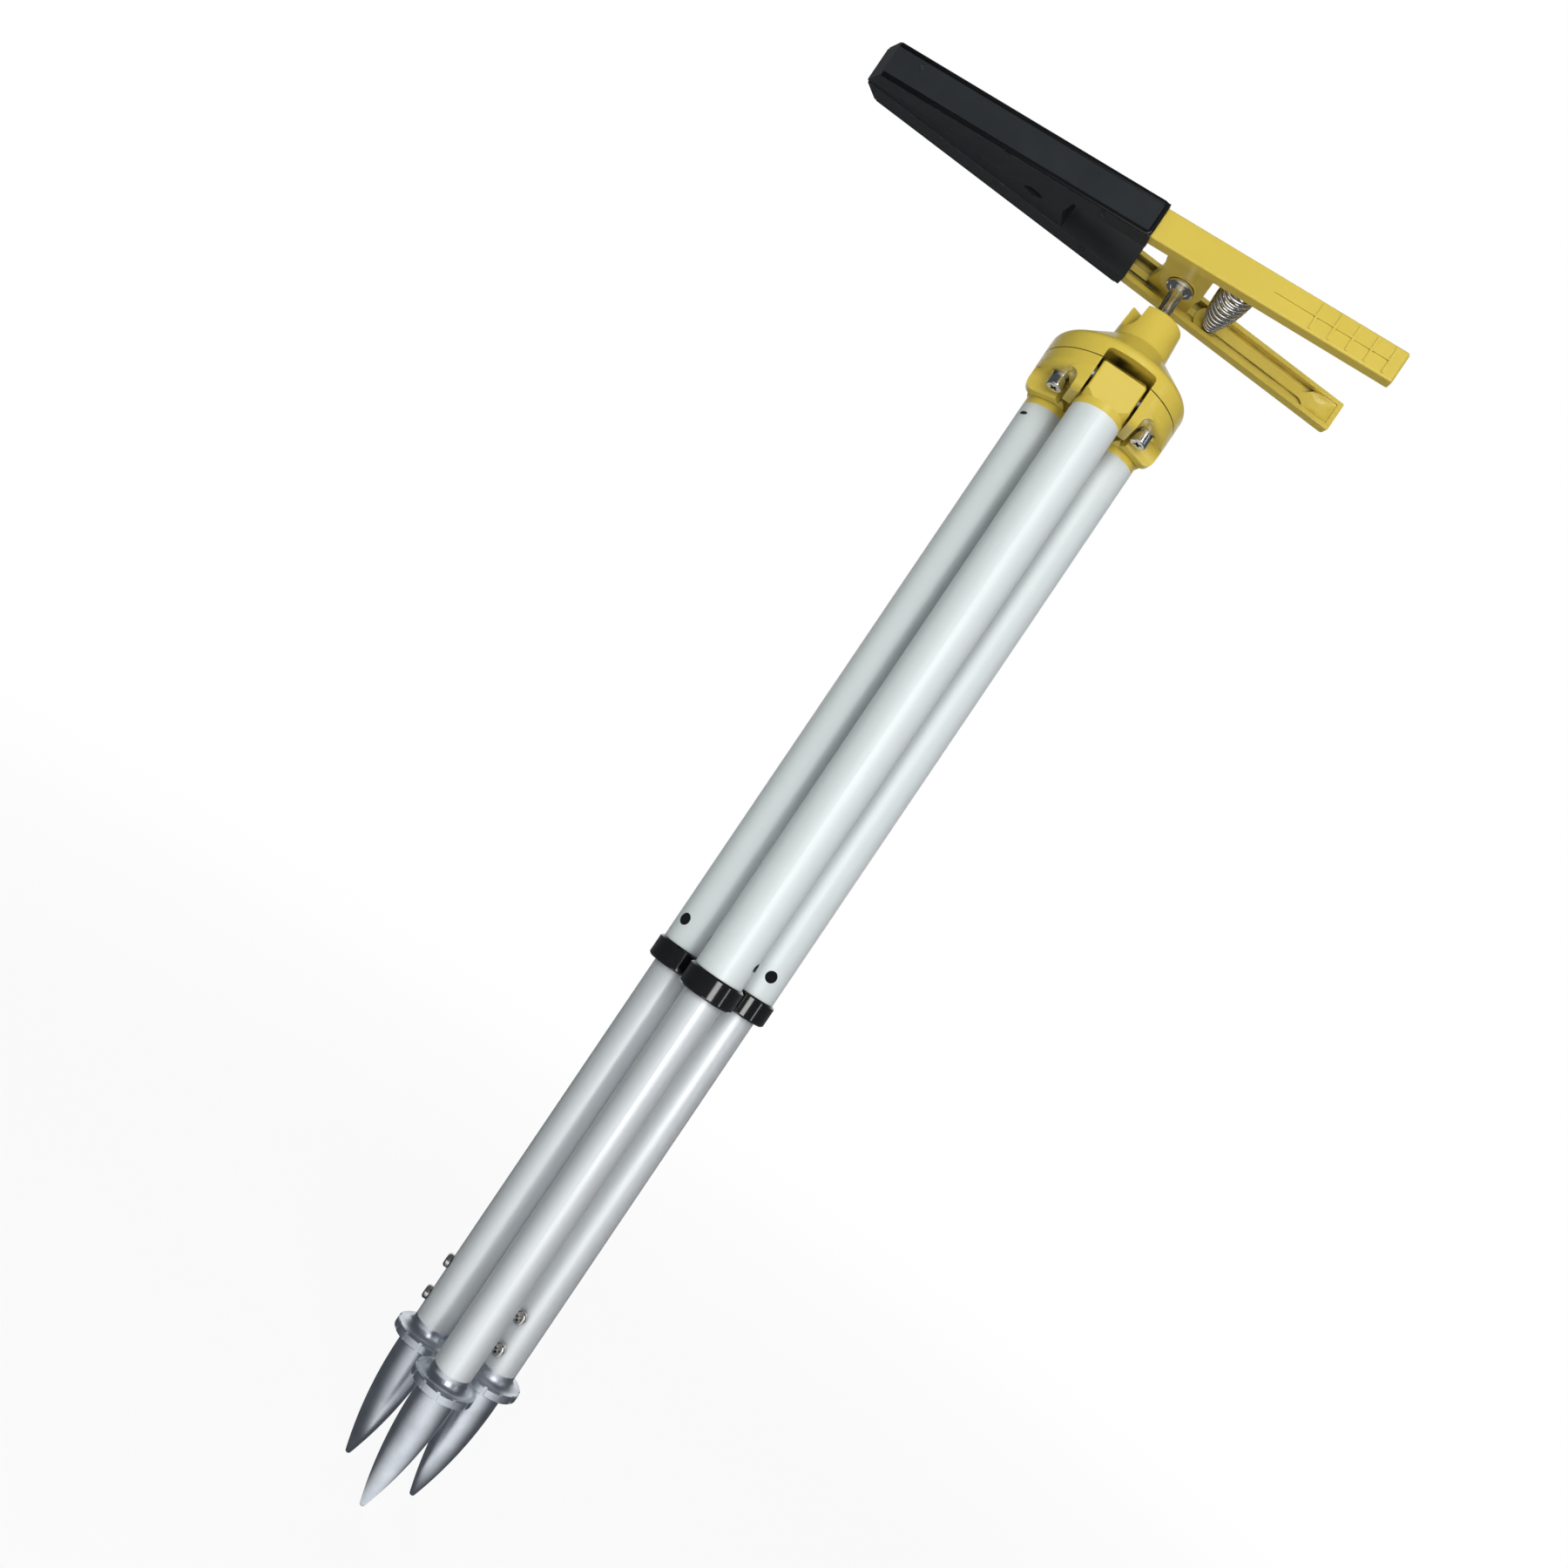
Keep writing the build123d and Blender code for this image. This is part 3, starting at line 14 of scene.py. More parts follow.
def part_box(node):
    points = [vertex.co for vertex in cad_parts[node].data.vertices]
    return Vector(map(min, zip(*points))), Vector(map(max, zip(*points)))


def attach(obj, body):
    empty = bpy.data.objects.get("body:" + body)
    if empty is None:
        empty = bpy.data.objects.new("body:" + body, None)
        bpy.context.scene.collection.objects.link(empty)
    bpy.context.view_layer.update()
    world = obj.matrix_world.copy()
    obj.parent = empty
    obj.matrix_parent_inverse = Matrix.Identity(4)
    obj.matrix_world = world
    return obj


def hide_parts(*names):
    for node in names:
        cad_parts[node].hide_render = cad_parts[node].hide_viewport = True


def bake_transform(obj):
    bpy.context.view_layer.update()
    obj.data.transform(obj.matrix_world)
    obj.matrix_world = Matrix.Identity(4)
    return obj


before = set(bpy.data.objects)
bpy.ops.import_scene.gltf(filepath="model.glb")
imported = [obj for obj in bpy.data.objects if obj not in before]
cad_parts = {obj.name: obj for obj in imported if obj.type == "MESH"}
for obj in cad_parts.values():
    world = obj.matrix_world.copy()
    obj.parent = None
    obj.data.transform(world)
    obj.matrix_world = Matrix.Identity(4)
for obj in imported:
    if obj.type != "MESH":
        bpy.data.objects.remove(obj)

LOG = logging.getLogger("staff_tripod")

Colour = tuple[float, float, float]
Point = tuple[float, float, float]
Span = tuple[float, float]
Source = NodeSocket | float | tuple
Sockets = bpy.types.bpy_prop_collection

WHITE: Colour = (1.0, 1.0, 1.0)
EVEN: Point = (1.0, 1.0, 1.0)
UNIT: Span = (0.0, 1.0)
# Most values of a noise pattern lie within this span.
NOISE_SPAN: Span = (0.3, 0.7)


class Side(Enum):
    """The three legs, named as seen by the camera."""

    FRONT = "front"
    RIGHT = "right"
    LEFT = "left"


class Jaw(Enum):
    """The two arms of the clamp; the value is the side of the pivot they lie on."""

    FRONT = -1
    REAR = 1

    @property
    def word(self) -> str:
        """The arm's word in the names of its pieces."""
        return self.name.lower()


class Effect(Enum):
    """Surface effects that several finishes share, each one a node group."""

    SKIN = "cast_skin"
    LINES = "drawn_lines"
    RUB = "edge_wear_and_glint"
    # Ambient-occlusion mask: painted shade in hollows, and dust on the mouldings.
    CREVICE = "crevice_shade_and_dust"
    SMUDGE = "handling_smudge"


def hundredths(length: float) -> float:
    """A length in metres, rounded to hundredths of a millimetre."""
    return round(length, 5)


def darker(colour: Colour, share: float) -> Colour:
    """The colour at a share of its brightness."""
    return tuple(channel * share for channel in colour)


def round_angles(count: int) -> list[float]:
    """Angles of points spaced evenly round a circle, in radians."""
    return [math.tau * step / count for step in range(count)]


class Wiring:
    """Adds nodes to one node tree and joins their sockets."""

    # Places of the colour sockets on Blender's Mix node.
    MIX_SHARE, MIX_FIRST, MIX_SECOND, MIX_RESULT = 0, 6, 7, 2

    def __init__(self, tree: NodeTree) -> None:
        """Takes the tree that the nodes go into."""
        self.tree = tree

    def node(self, kind: str, **settings: object) -> Node:
        """Adds one node.

        Args:
            kind: the node's type name.
            settings: properties to set on it.

        Returns:
            The new node.
        """
        made = self.tree.nodes.new(kind)
        for name, value in settings.items():
            setattr(made, name, value)
        return made

    def feed(self, socket: NodeSocket, value: Source) -> None:
        """Joins an output to an input, or sets the input's own value.

        Args:
            socket: the input.
            value: an output socket, a number, a colour or a vector.
        """
        if isinstance(value, NodeSocket):
            self.tree.links.new(value, socket)
        elif isinstance(value, tuple) and socket.type == "RGBA":
            socket.default_value = (*value, 1.0)
        else:
            socket.default_value = value

    def calc(
        self, operation: str, first: Source, second: Source = 0.0, clamp: bool = False
    ) -> Source:
        """One step of arithmetic.

        Args:
            operation: the Math node's operation.
            first: first term.
            second: second term.
            clamp: keeps the result between 0 and 1.

        Returns:
            The result's socket.
        """
        made = self.node("ShaderNodeMath", operation=operation, use_clamp=clamp)
        self.feed(made.inputs[0], first)
        self.feed(made.inputs[1], second)
        return made.outputs[0]

    def blend(self, share: Source, first: Source, second: Source) -> Source:
        """Mixes two colours.

        Args:
            share: how much of the second colour shows.
            first: colour at 0.
            second: colour at 1.

        Returns:
            The mixed colour's socket.
        """
        made = self.node("ShaderNodeMix", data_type="RGBA", clamp_factor=True)
        self.feed(made.inputs[self.MIX_SHARE], share)
        self.feed(made.inputs[self.MIX_FIRST], first)
        self.feed(made.inputs[self.MIX_SECOND], second)
        return made.outputs[self.MIX_RESULT]

    def spread(
        self, value: Source, span: tuple, result: tuple = UNIT, smooth: bool = False
    ) -> Source:
        """Maps a span of values onto another one.

        Args:
            value: what is mapped.
            span: its low and high ends.
            result: the values at those ends.
            smooth: eases in and out.

        Returns:
            The mapped value's socket.
        """
        kind = "SMOOTHSTEP" if smooth else "LINEAR"
        made = self.node("ShaderNodeMapRange", interpolation_type=kind, clamp=True)
        for socket, amount in zip(made.inputs, (value, *span, *result)):
            self.feed(socket, amount)
        return made.outputs[0]

    def noise(self, scale: Source, detail: float, stretch: Source = EVEN) -> Source:
        """Noise in the object's own coordinates.

        Args:
            scale: waves per metre.
            detail: octaves of finer noise.
            stretch: factors on the three axes.

        Returns:
            The noise value's socket.
        """
        place = self.node("ShaderNodeTexCoord")
        scaled = self.node("ShaderNodeVectorMath", operation="MULTIPLY")
        self.feed(scaled.inputs[0], place.outputs["Object"])
        self.feed(scaled.inputs[1], stretch)
        made = self.node("ShaderNodeTexNoise", noise_dimensions="3D")
        self.feed(made.inputs["Vector"], scaled.outputs[0])
        self.feed(made.inputs["Scale"], scale)
        self.feed(made.inputs["Detail"], detail)
        return made.outputs[0]


class EffectShelf:
    """Builds each shared effect once and hands it to the finishes."""

    BAND_FINENESS = 0.16
    RUB_SAMPLES = 6
    RUB_TURN: Span = (0.985, 0.86)
    RUB_PATCHES: Span = (0.36, 0.62)
    SHELTER_SAMPLES = 16
    SHELTER_FULL = 0.2
    SHELTER_PATCHES: Span = (0.45, 1.0)
    SMEAR_STRETCH: Point = (1.0, 1.0, 0.45)
    SPECK_FINENESS = 32.0
    SPECK_SPAN: Span = (0.66, 0.78)

    def __init__(self) -> None:
        """Starts with no effect built."""
        self.groups: dict[Effect, NodeTree] = {}

    def group(self, effect: Effect) -> NodeTree:
        """The node group of an effect, built at its first use.

        Args:
            effect: which effect.

        Returns:
            The group.
        """
        if effect not in self.groups:
            makers = {
                Effect.SKIN: self._skin,
                Effect.LINES: self._lines,
                Effect.RUB: self._rub,
                Effect.CREVICE: self._crevice,
                Effect.SMUDGE: self._smudge,
            }
            self.groups[effect] = makers[effect]()
        return self.groups[effect]

    @staticmethod
    def _start(
        effect: Effect, inputs: dict[str, float | Point], outputs: tuple[str, ...]
    ) -> tuple[Wiring, Sockets, Sockets]:
        """Makes an empty group with named sockets.

        Args:
            effect: the effect that the group is for.
            inputs: names of the inputs with their values at rest.
            outputs: names of the outputs, all of them values.

        Returns:
            The wiring, the sockets that bring the inputs and those that take the outputs.
        """
        tree = bpy.data.node_groups.new(effect.value, "ShaderNodeTree")
        for label, value in inputs.items():
            kind = "NodeSocketVector" if isinstance(value, tuple) else "NodeSocketFloat"
            socket = tree.interface.new_socket(name=label, in_out="INPUT", socket_type=kind)
            socket.default_value = value
        for label in outputs:
            tree.interface.new_socket(name=label, in_out="OUTPUT", socket_type="NodeSocketFloat")
        wires = Wiring(tree)
        given = wires.node("NodeGroupInput").outputs
        return wires, given, wires.node("NodeGroupOutput").inputs

    def _skin(self) -> NodeTree:
        """Fine pebbled skin of a casting or moulding, with slow patches.

        Returns:
            The group.
        """
        inputs = {"Grain": 900.0, "Patch": 40.0}
        wires, given, result = self._start(Effect.SKIN, inputs, ("Height", "Mottle"))
        wires.feed(result["Height"], wires.noise(given["Grain"], detail=1.5))
        wires.feed(result["Mottle"], wires.noise(given["Patch"], detail=2.0))
        return wires.tree

    def _lines(self) -> NodeTree:
        """Fine lines that run one way, as drawing or turning leaves them.

        Returns:
            The group.
        """
        inputs = {"Fineness": 900.0, "Run": (1.0, 1.0, 0.01)}
        wires, given, result = self._start(Effect.LINES, inputs, ("Lines", "Bands"))
        fine = wires.noise(given["Fineness"], detail=3.0, stretch=given["Run"])
        wires.feed(result["Lines"], fine)
        coarse = wires.calc("MULTIPLY", given["Fineness"], self.BAND_FINENESS)
        wires.feed(result["Bands"], wires.noise(coarse, detail=2.0, stretch=given["Run"]))
        return wires.tree

    def _rub(self) -> NodeTree:
        """Mask of edges and corners: rubbed wear, and on the enamel also a painted glint.

        Returns:
            The group.
        """
        inputs = {"Reach": 0.0006, "Breakup": 260.0}
        wires, given, result = self._start(Effect.RUB, inputs, ("Mask",))
        rounded = wires.node("ShaderNodeBevel", samples=self.RUB_SAMPLES)
        wires.feed(rounded.inputs["Radius"], given["Reach"])
        shape = wires.node("ShaderNodeNewGeometry")
        turn = wires.node("ShaderNodeVectorMath", operation="DOT_PRODUCT")
        wires.feed(turn.inputs[0], rounded.outputs[0])
        wires.feed(turn.inputs[1], shape.outputs["Normal"])
        edge = wires.spread(turn.outputs["Value"], self.RUB_TURN, smooth=True)
        patchy = wires.spread(wires.noise(given["Breakup"], detail=3.0), self.RUB_PATCHES)
        wires.feed(result["Mask"], wires.calc("MULTIPLY", edge, patchy, clamp=True))
        return wires.tree

    def _crevice(self) -> NodeTree:
        """Mask of inner corners from ambient occlusion: painted shade in hollows, and dust on the
        mouldings.

        Returns:
            The group.
        """
        inputs = {"Reach": 0.004, "Breakup": 140.0, "Onset": 0.72}
        wires, given, result = self._start(Effect.CREVICE, inputs, ("Mask",))
        shelter = wires.node("ShaderNodeAmbientOcclusion", samples=self.SHELTER_SAMPLES)
        wires.feed(shelter.inputs["Distance"], given["Reach"])
        span = (given["Onset"], self.SHELTER_FULL)
        closed = wires.spread(shelter.outputs["AO"], span, smooth=True)
        patches = wires.noise(given["Breakup"], detail=2.0)
        patchy = wires.spread(patches, NOISE_SPAN, self.SHELTER_PATCHES)
        wires.feed(result["Mask"], wires.calc("MULTIPLY", closed, patchy, clamp=True))
        return wires.tree

    def _smudge(self) -> NodeTree:
        """Faint smears of handling, for gloss that isn't the same all over.

        Returns:
            The group.
        """
        inputs = {"Size": 55.0}
        wires, given, result = self._start(Effect.SMUDGE, inputs, ("Smear", "Specks"))
        smear = wires.noise(given["Size"], detail=4.0, stretch=self.SMEAR_STRETCH)
        wires.feed(result["Smear"], smear)
        fine = wires.calc("MULTIPLY", given["Size"], self.SPECK_FINENESS)
        specks = wires.spread(wires.noise(fine, detail=1.0), self.SPECK_SPAN)
        wires.feed(result["Specks"], specks)
        return wires.tree


EFFECTS = EffectShelf()


class Surface(Wiring):
    """A new material with its Principled shader, and the shared effects at hand."""

    def __init__(self, name: str) -> None:
        """Makes the material.

        Args:
            name: the material's name.
        """
        self.material = bpy.data.materials.new(name)
        self.material.use_nodes = True
        super().__init__(self.material.node_tree)
        self.shader = next(n for n in self.tree.nodes if n.type == "BSDF_PRINCIPLED")

    def effect(self, effect: Effect, **values: Source) -> Sockets:
        """Places a shared effect.

        Args:
            effect: which effect.
            values: its inputs by name.

        Returns:
            The effect's outputs.
        """
        made = self.node("ShaderNodeGroup", node_tree=EFFECTS.group(effect))
        for name, value in values.items():
            self.feed(made.inputs[name], value)
        return made.outputs

    def overlay(self, mask: Source, share: float, under: Source, over: Source) -> Source:
        """Lays one colour over another where a mask shows, as strongly as the share says."""
        return self.blend(self.calc("MULTIPLY", mask, share), under, over)

    def vary(
        self, pattern: Source, middle: float, swing: Span, span: Span = NOISE_SPAN
    ) -> Source:
        """Adds to a plain value: one swing at the low end of a pattern's span, one at its high end."""
        return self.spread(pattern, span, (middle + swing[0], middle + swing[1]))

    def put(self, **values: Source) -> None:
        """Feeds the shader's sockets, named with _ for a space."""
        for name, value in values.items():
            self.feed(self.shader.inputs[name.replace("_", " ")], value)

    def bump(self, height: Source, depth: float, strength: float = 0.5) -> None:
        """Raises the surface by a height pattern.

        Args:
            height: pattern from 0 to 1.
            depth: metres between the pattern's 0 and 1.
            strength: how much of it shows.
        """
        made = self.node("ShaderNodeBump")
        self.feed(made.inputs["Strength"], strength)
        self.feed(made.inputs["Distance"], depth)
        self.feed(made.inputs["Height"], height)
        self.feed(self.shader.inputs["Normal"], made.outputs[0])


@dataclass(frozen=True)
class Enamel:
    """Stove enamel on a casting: grain of the casting under a glossy coat."""

    name: str
    colour: Colour
    # Paler colour at edges: thin enamel, and a painted glint.
    thin_edge_and_glint: Colour
    # Colour of the painted shade in corners and hollows.
    hollow_shade: Colour
    # Nearly black painted shade deep in the head's pockets.
    pocket_shade: Colour
    roughness: float
    grain: float = 420.0
    relief: float = 0.00002

    def material(self) -> Material:
        """Builds the enamel, with painted shade in corners and a nearly black painted shade deep
        inside.

        Returns:
            The material.
        """
        made = Surface(self.name)
        skin = made.effect(Effect.SKIN, Grain=self.grain, Patch=34.0)
        rub = made.effect(Effect.RUB, Reach=0.0005, Breakup=240.0)
        crevice = made.effect(Effect.CREVICE, Reach=0.004)
        # Wide occlusion mask for the painted shade deep in the pockets.
        depth = made.effect(Effect.CREVICE, Reach=0.022, Breakup=60.0)
        smear = made.effect(Effect.SMUDGE, Size=48.0)
        mottle = made.spread(skin["Mottle"], NOISE_SPAN, result=(0.0, 0.3))
        body = made.blend(mottle, self.colour, darker(self.colour, share=0.88))
        # Paler edges and corners: partly wear, partly a painted glint.
        rubbed = made.overlay(rub["Mask"], share=0.3, under=body, over=self.thin_edge_and_glint)
        # Painted shade: corners darkened towards the shade colour.
        corner_shaded = made.overlay(crevice["Mask"], share=0.6, under=rubbed, over=self.hollow_shade)
        # Painted shade: deep hollows go nearly black over the corner shade.
        pocket_shade_mask = made.spread(depth["Mask"], span=(0.5, 0.95), result=(0.0, 0.92))
        hollow_shaded = made.blend(pocket_shade_mask, corner_shaded, self.pocket_shade)
        gloss = made.vary(smear["Smear"], self.roughness, swing=(-0.05, 0.08))
        made.put(Base_Color=hollow_shaded, Roughness=gloss, Specular_IOR_Level=0.5)
        made.put(Coat_Weight=0.5, Coat_Roughness=0.15)
        made.bump(skin["Height"], self.relief)
        return made.material


@dataclass(frozen=True)
class DrawnTube:
    """Drawn aluminium tube, anodised or plain, with lines along it and painted shade where tubes meet.
    """

    name: str
    colour: Colour
    shade: Colour
    metallic: float
    roughness: float
    bare: Colour = (0.93, 0.93, 0.94)
    # Colour of the painted shade where tubes meet.
    hollow_shade: Colour = (0.05, 0.055, 0.058)
    relief: float = 0.00002

    def material(self) -> Material:
        """Builds the tube's metal.

        Returns:
            The material.
        """
        made = Surface(self.name)
        lines = made.effect(Effect.LINES, Fineness=1400.0, Run=(1.0, 1.0, 0.004))
        smear = made.effect(Effect.SMUDGE, Size=26.0)
        rub = made.effect(Effect.RUB, Reach=0.0006, Breakup=420.0)
        crevice = made.effect(Effect.CREVICE, Reach=0.024, Breakup=4.0, Onset=0.95)
        tone = made.spread(lines["Bands"], NOISE_SPAN, result=(0.0, 0.55))
        drawn = made.blend(tone, self.colour, self.shade)
        rubbed = made.overlay(rub["Mask"], share=0.5, under=drawn, over=self.bare)
        # Painted shade where the tube meets its neighbours and other parts.
        contact_shaded = made.overlay(crevice["Mask"], share=0.9, under=rubbed, over=self.hollow_shade)
        streak = made.vary(lines["Lines"], middle=0.0, swing=(-0.05, 0.05))
        gloss = made.vary(smear["Smear"], self.roughness, swing=(-0.04, 0.05))
        made.put(Base_Color=contact_shaded, Metallic=self.metallic)
        made.put(Roughness=made.calc("ADD", gloss, streak))
        made.bump(lines["Lines"], self.relief)
        return made.material


@dataclass(frozen=True)
class CastMetal:
    """Bare cast and turned aluminium with a sandy skin and painted shade in hollows."""

    name: str
    colour: Colour
    shade: Colour
    hollow_shade: Colour
    roughness: float
    bare: Colour = (0.86, 0.86, 0.87)
    relief: float = 0.0001
    ring_relief: float = 0.4

    def material(self) -> Material:
        """Builds the casting's metal, with turning rings in its skin.

        Returns:
            The material.
        """
        made = Surface(self.name)
        skin = made.effect(Effect.SKIN, Grain=1500.0, Patch=90.0)
        rings = made.effect(Effect.LINES, Fineness=1800.0, Run=(0.05, 0.05, 1.0))
        rub = made.effect(Effect.RUB, Reach=0.0008, Breakup=300.0)
        crevice = made.effect(Effect.CREVICE, Reach=0.004)
        smear = made.effect(Effect.SMUDGE, Size=70.0)
        tone = made.spread(skin["Mottle"], span=(0.3, 0.72), result=(0.0, 0.8))
        body = made.blend(tone, self.colour, self.shade)
        rubbed = made.overlay(rub["Mask"], share=0.7, under=body, over=self.bare)
        # Painted shade: hollows darkened towards the shade colour.
        hollow_shaded = made.overlay(crevice["Mask"], share=0.8, under=rubbed, over=self.hollow_shade)
        gloss = made.vary(
            smear["Smear"], self.roughness, swing=(-0.08, 0.12), span=(0.28, 0.72)
        )
        made.put(Base_Color=hollow_shaded, Metallic=1.0, Roughness=gloss)
        turned = made.calc("MULTIPLY", rings["Lines"], self.ring_relief)
        made.bump(made.calc("ADD", skin["Height"], turned), self.relief)
        return made.material


@dataclass(frozen=True)
class Plating:
    """Bright plated steel: mirror gloss with fine turning lines and painted shade in hollows."""

    name: str
    colour: Colour
    dull: Colour
    roughness: float
    # Reach of the painted shade in hollows and between the spring's turns.
    shelter: float
    run: Point = (0.02, 0.02, 1.0)
    hollow_shade: Colour = (0.035, 0.033, 0.03)
    relief: float = 0.000005

    def material(self) -> Material:
        """Builds the plating.

        Returns:
            The material.
        """
        made = Surface(self.name)
        lines = made.effect(Effect.LINES, Fineness=2600.0, Run=self.run)
        crevice = made.effect(Effect.CREVICE, Reach=self.shelter, Breakup=60.0)
        smear = made.effect(Effect.SMUDGE, Size=120.0)
        haze = made.spread(smear["Smear"], span=(0.35, 0.75), result=(0.0, 0.35))
        hazy = made.blend(haze, self.colour, self.dull)
        # Painted shade: hollows and gaps between turns darkened.
        hollow_shaded = made.overlay(crevice["Mask"], share=0.92, under=hazy, over=self.hollow_shade)
        gloss = made.vary(lines["Lines"], self.roughness, swing=(-0.04, 0.07))
        made.put(Base_Color=hollow_shaded, Metallic=1.0, Roughness=gloss)
        made.bump(lines["Lines"], self.relief, strength=0.4)
        return made.material


@dataclass(frozen=True)
class Moulding:
    """Moulded plastic: pebbled skin, paler rubbed edges and a little dust in corners."""

    name: str
    colour: Colour
    worn: Colour
    roughness: float
    grain: float
    relief: float
    specular: float
    coat: float = 0.0

    def material(self) -> Material:
        """Builds the plastic.

        Returns:
            The material.
        """
        made = Surface(self.name)
        skin = made.effect(Effect.SKIN, Grain=self.grain, Patch=60.0)
        rub = made.effect(Effect.RUB, Reach=0.0007, Breakup=330.0)
        crevice = made.effect(Effect.CREVICE, Reach=0.003)
        smear = made.effect(Effect.SMUDGE, Size=62.0)
        mottle = made.spread(skin["Mottle"], NOISE_SPAN, result=(0.0, 0.5))
        body = made.blend(mottle, self.colour, darker(self.colour, share=0.72))
        rubbed = made.overlay(rub["Mask"], share=0.45, under=body, over=self.worn)
        dusty = made.overlay(crevice["Mask"], share=0.25, under=rubbed, over=self.worn)
        specked = made.overlay(smear["Specks"], share=0.12, under=dusty, over=self.worn)
        gloss = made.vary(smear["Smear"], self.roughness, swing=(-0.04, 0.07))
        made.put(Base_Color=specked, Roughness=gloss, Specular_IOR_Level=self.specular)
        made.put(Coat_Weight=self.coat, Coat_Roughness=0.07)
        made.bump(skin["Height"], self.relief)
        return made.material


Finish = Enamel | DrawnTube | CastMetal | Plating | Moulding


class Finishes:
    """The tripod's finishes, each made into a material once."""

    ENAMEL = Enamel(
        "yellow_enamel",
        colour=(0.74, 0.56, 0.078), thin_edge_and_glint=(0.84, 0.70, 0.20),
        hollow_shade=(0.22, 0.15, 0.02), pocket_shade=(0.012, 0.009, 0.003), roughness=0.34,
    )
    UPPER_TUBE = DrawnTube(
        "anodised_tube",
        colour=(0.80, 0.85, 0.85), shade=(0.75, 0.80, 0.81), metallic=0.15, roughness=0.48,
    )
    LOWER_TUBE = DrawnTube(
        "drawn_tube",
        colour=(0.86, 0.89, 0.91), shade=(0.79, 0.82, 0.85), metallic=0.5, roughness=0.42,
    )
    FOOT = CastMetal(
        "cast_foot",
        colour=(0.76, 0.80, 0.86), shade=(0.58, 0.62, 0.68),
        hollow_shade=(0.05, 0.055, 0.065), roughness=0.34,
    )
    STAKE = CastMetal(
        "staked_metal",
        colour=(0.13, 0.135, 0.135), shade=(0.08, 0.085, 0.085),
        hollow_shade=(0.012, 0.012, 0.012), roughness=0.42,
    )
    NICKEL = Plating(
        "bright_nickel",
        colour=(0.76, 0.74, 0.71), dull=(0.52, 0.50, 0.47), roughness=0.18, shelter=0.0016,
    )
    WIRE = Plating(
        "spring_wire",
        colour=(0.70, 0.69, 0.67), dull=(0.48, 0.46, 0.44), roughness=0.16, shelter=0.007,
        run=(1.0, 0.1, 1.0),
    )
    BUSH = Moulding(
        "gloss_black_bush",
        colour=(0.0035, 0.004, 0.004), worn=(0.03, 0.031, 0.032), roughness=0.13,
        grain=420.0, relief=0.00002, specular=0.7, coat=1.0,
    )
    SLEEVE = Moulding(
        "satin_black_sleeve",
        colour=(0.022, 0.025, 0.029), worn=(0.085, 0.09, 0.098), roughness=0.46,
        grain=1300.0, relief=0.00006, specular=0.42,
    )
    BEAD = Moulding(
        "black_bead",
        colour=(0.006, 0.0065, 0.007), worn=(0.05, 0.052, 0.056), roughness=0.26,
        grain=900.0, relief=0.00003, specular=0.45,
    )
    NYLON = Moulding(
        "natural_nylon",
        colour=(0.66, 0.63, 0.55), worn=(0.80, 0.78, 0.72), roughness=0.5,
        grain=700.0, relief=0.00005, specular=0.5,
    )

    def __init__(self) -> None:
        """Starts with no material made."""
        self.made: dict[str, Material] = {}

    def dress(self, piece: Object, finish: Finish) -> None:
        """Gives a piece one finish and reports it.

        Args:
            piece: the Blender object.
            finish: one of the finishes above.
        """
        if finish.name not in self.made:
            self.made[finish.name] = finish.material()
        piece.data.materials.clear()
        piece.data.materials.append(self.made[finish.name])
        LOG.info("%s: %s", piece.name, finish.name)

    def dress_nodes(self, finish: Finish, *nodes: str) -> None:
        """Gives CAD nodes one finish."""
        for node in nodes:
            self.dress(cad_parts[node], finish)


def mesh_piece(
    name: str, points: list[Vector | Point], faces: list[list[int]], smooth: bool = True
) -> Object:
    """Makes a mesh object from points and faces.

    Args:
        name: the piece's name.
        points: corners in metres, in the row frame.
        faces: lists of corner numbers.
        smooth: shades the faces smooth.

    Returns:
        The new object.
    """
    mesh = bpy.data.meshes.new(name)
    mesh.from_pydata([tuple(p) for p in points], [], faces)
    mesh.validate()
    shape = bmesh.new()
    shape.from_mesh(mesh)
    bmesh.ops.recalc_face_normals(shape, faces=shape.faces)
    shape.to_mesh(mesh)
    shape.free()
    if smooth:
        mesh.shade_smooth()
    piece = bpy.data.objects.new(name, mesh)
    bpy.context.scene.collection.objects.link(piece)
    return piece


def ring_faces(count: int, sides: int, first: int = 0) -> list[list[int]]:
    """Faces that join rings of points, with one more on the first and on the last ring.

    Args:
        count: number of rings.
        sides: number of points in each ring.
        first: number of the first ring's first point.

    Returns:
        Lists of point numbers.
    """
    faces: list[list[int]] = []
    for index in range(count - 1):
        low = first + index * sides
        high = low + sides
        for side in range(sides):
            follow = (side + 1) % sides
            faces.append([low + side, low + follow, high + follow, high + side])
    for end in (first, first + (count - 1) * sides):
        faces.append([end + side for side in range(sides)])
    return faces


def rings_piece(name: str, rings: list[list[Vector]]) -> Object:
    """Makes a closed mesh object by joining rings that have the same number of points."""
    points = [point for ring in rings for point in ring]
    return mesh_piece(name, points, ring_faces(len(rings), len(rings[0])))


@dataclass
class Head:
    """The two head castings with their screws and washers."""

    castings: tuple[str, ...] = ("head_cap", "head_base")
    bright: tuple[str, ...] = ("head_screws", "head_flat_washers", "head_spring_washers")

    def dress(self, finishes: Finishes) -> None:
        """Dresses the CAD nodes of the head."""
        finishes.dress_nodes(Finishes.ENAMEL, *self.castings)
        finishes.dress_nodes(Finishes.NICKEL, *self.bright)


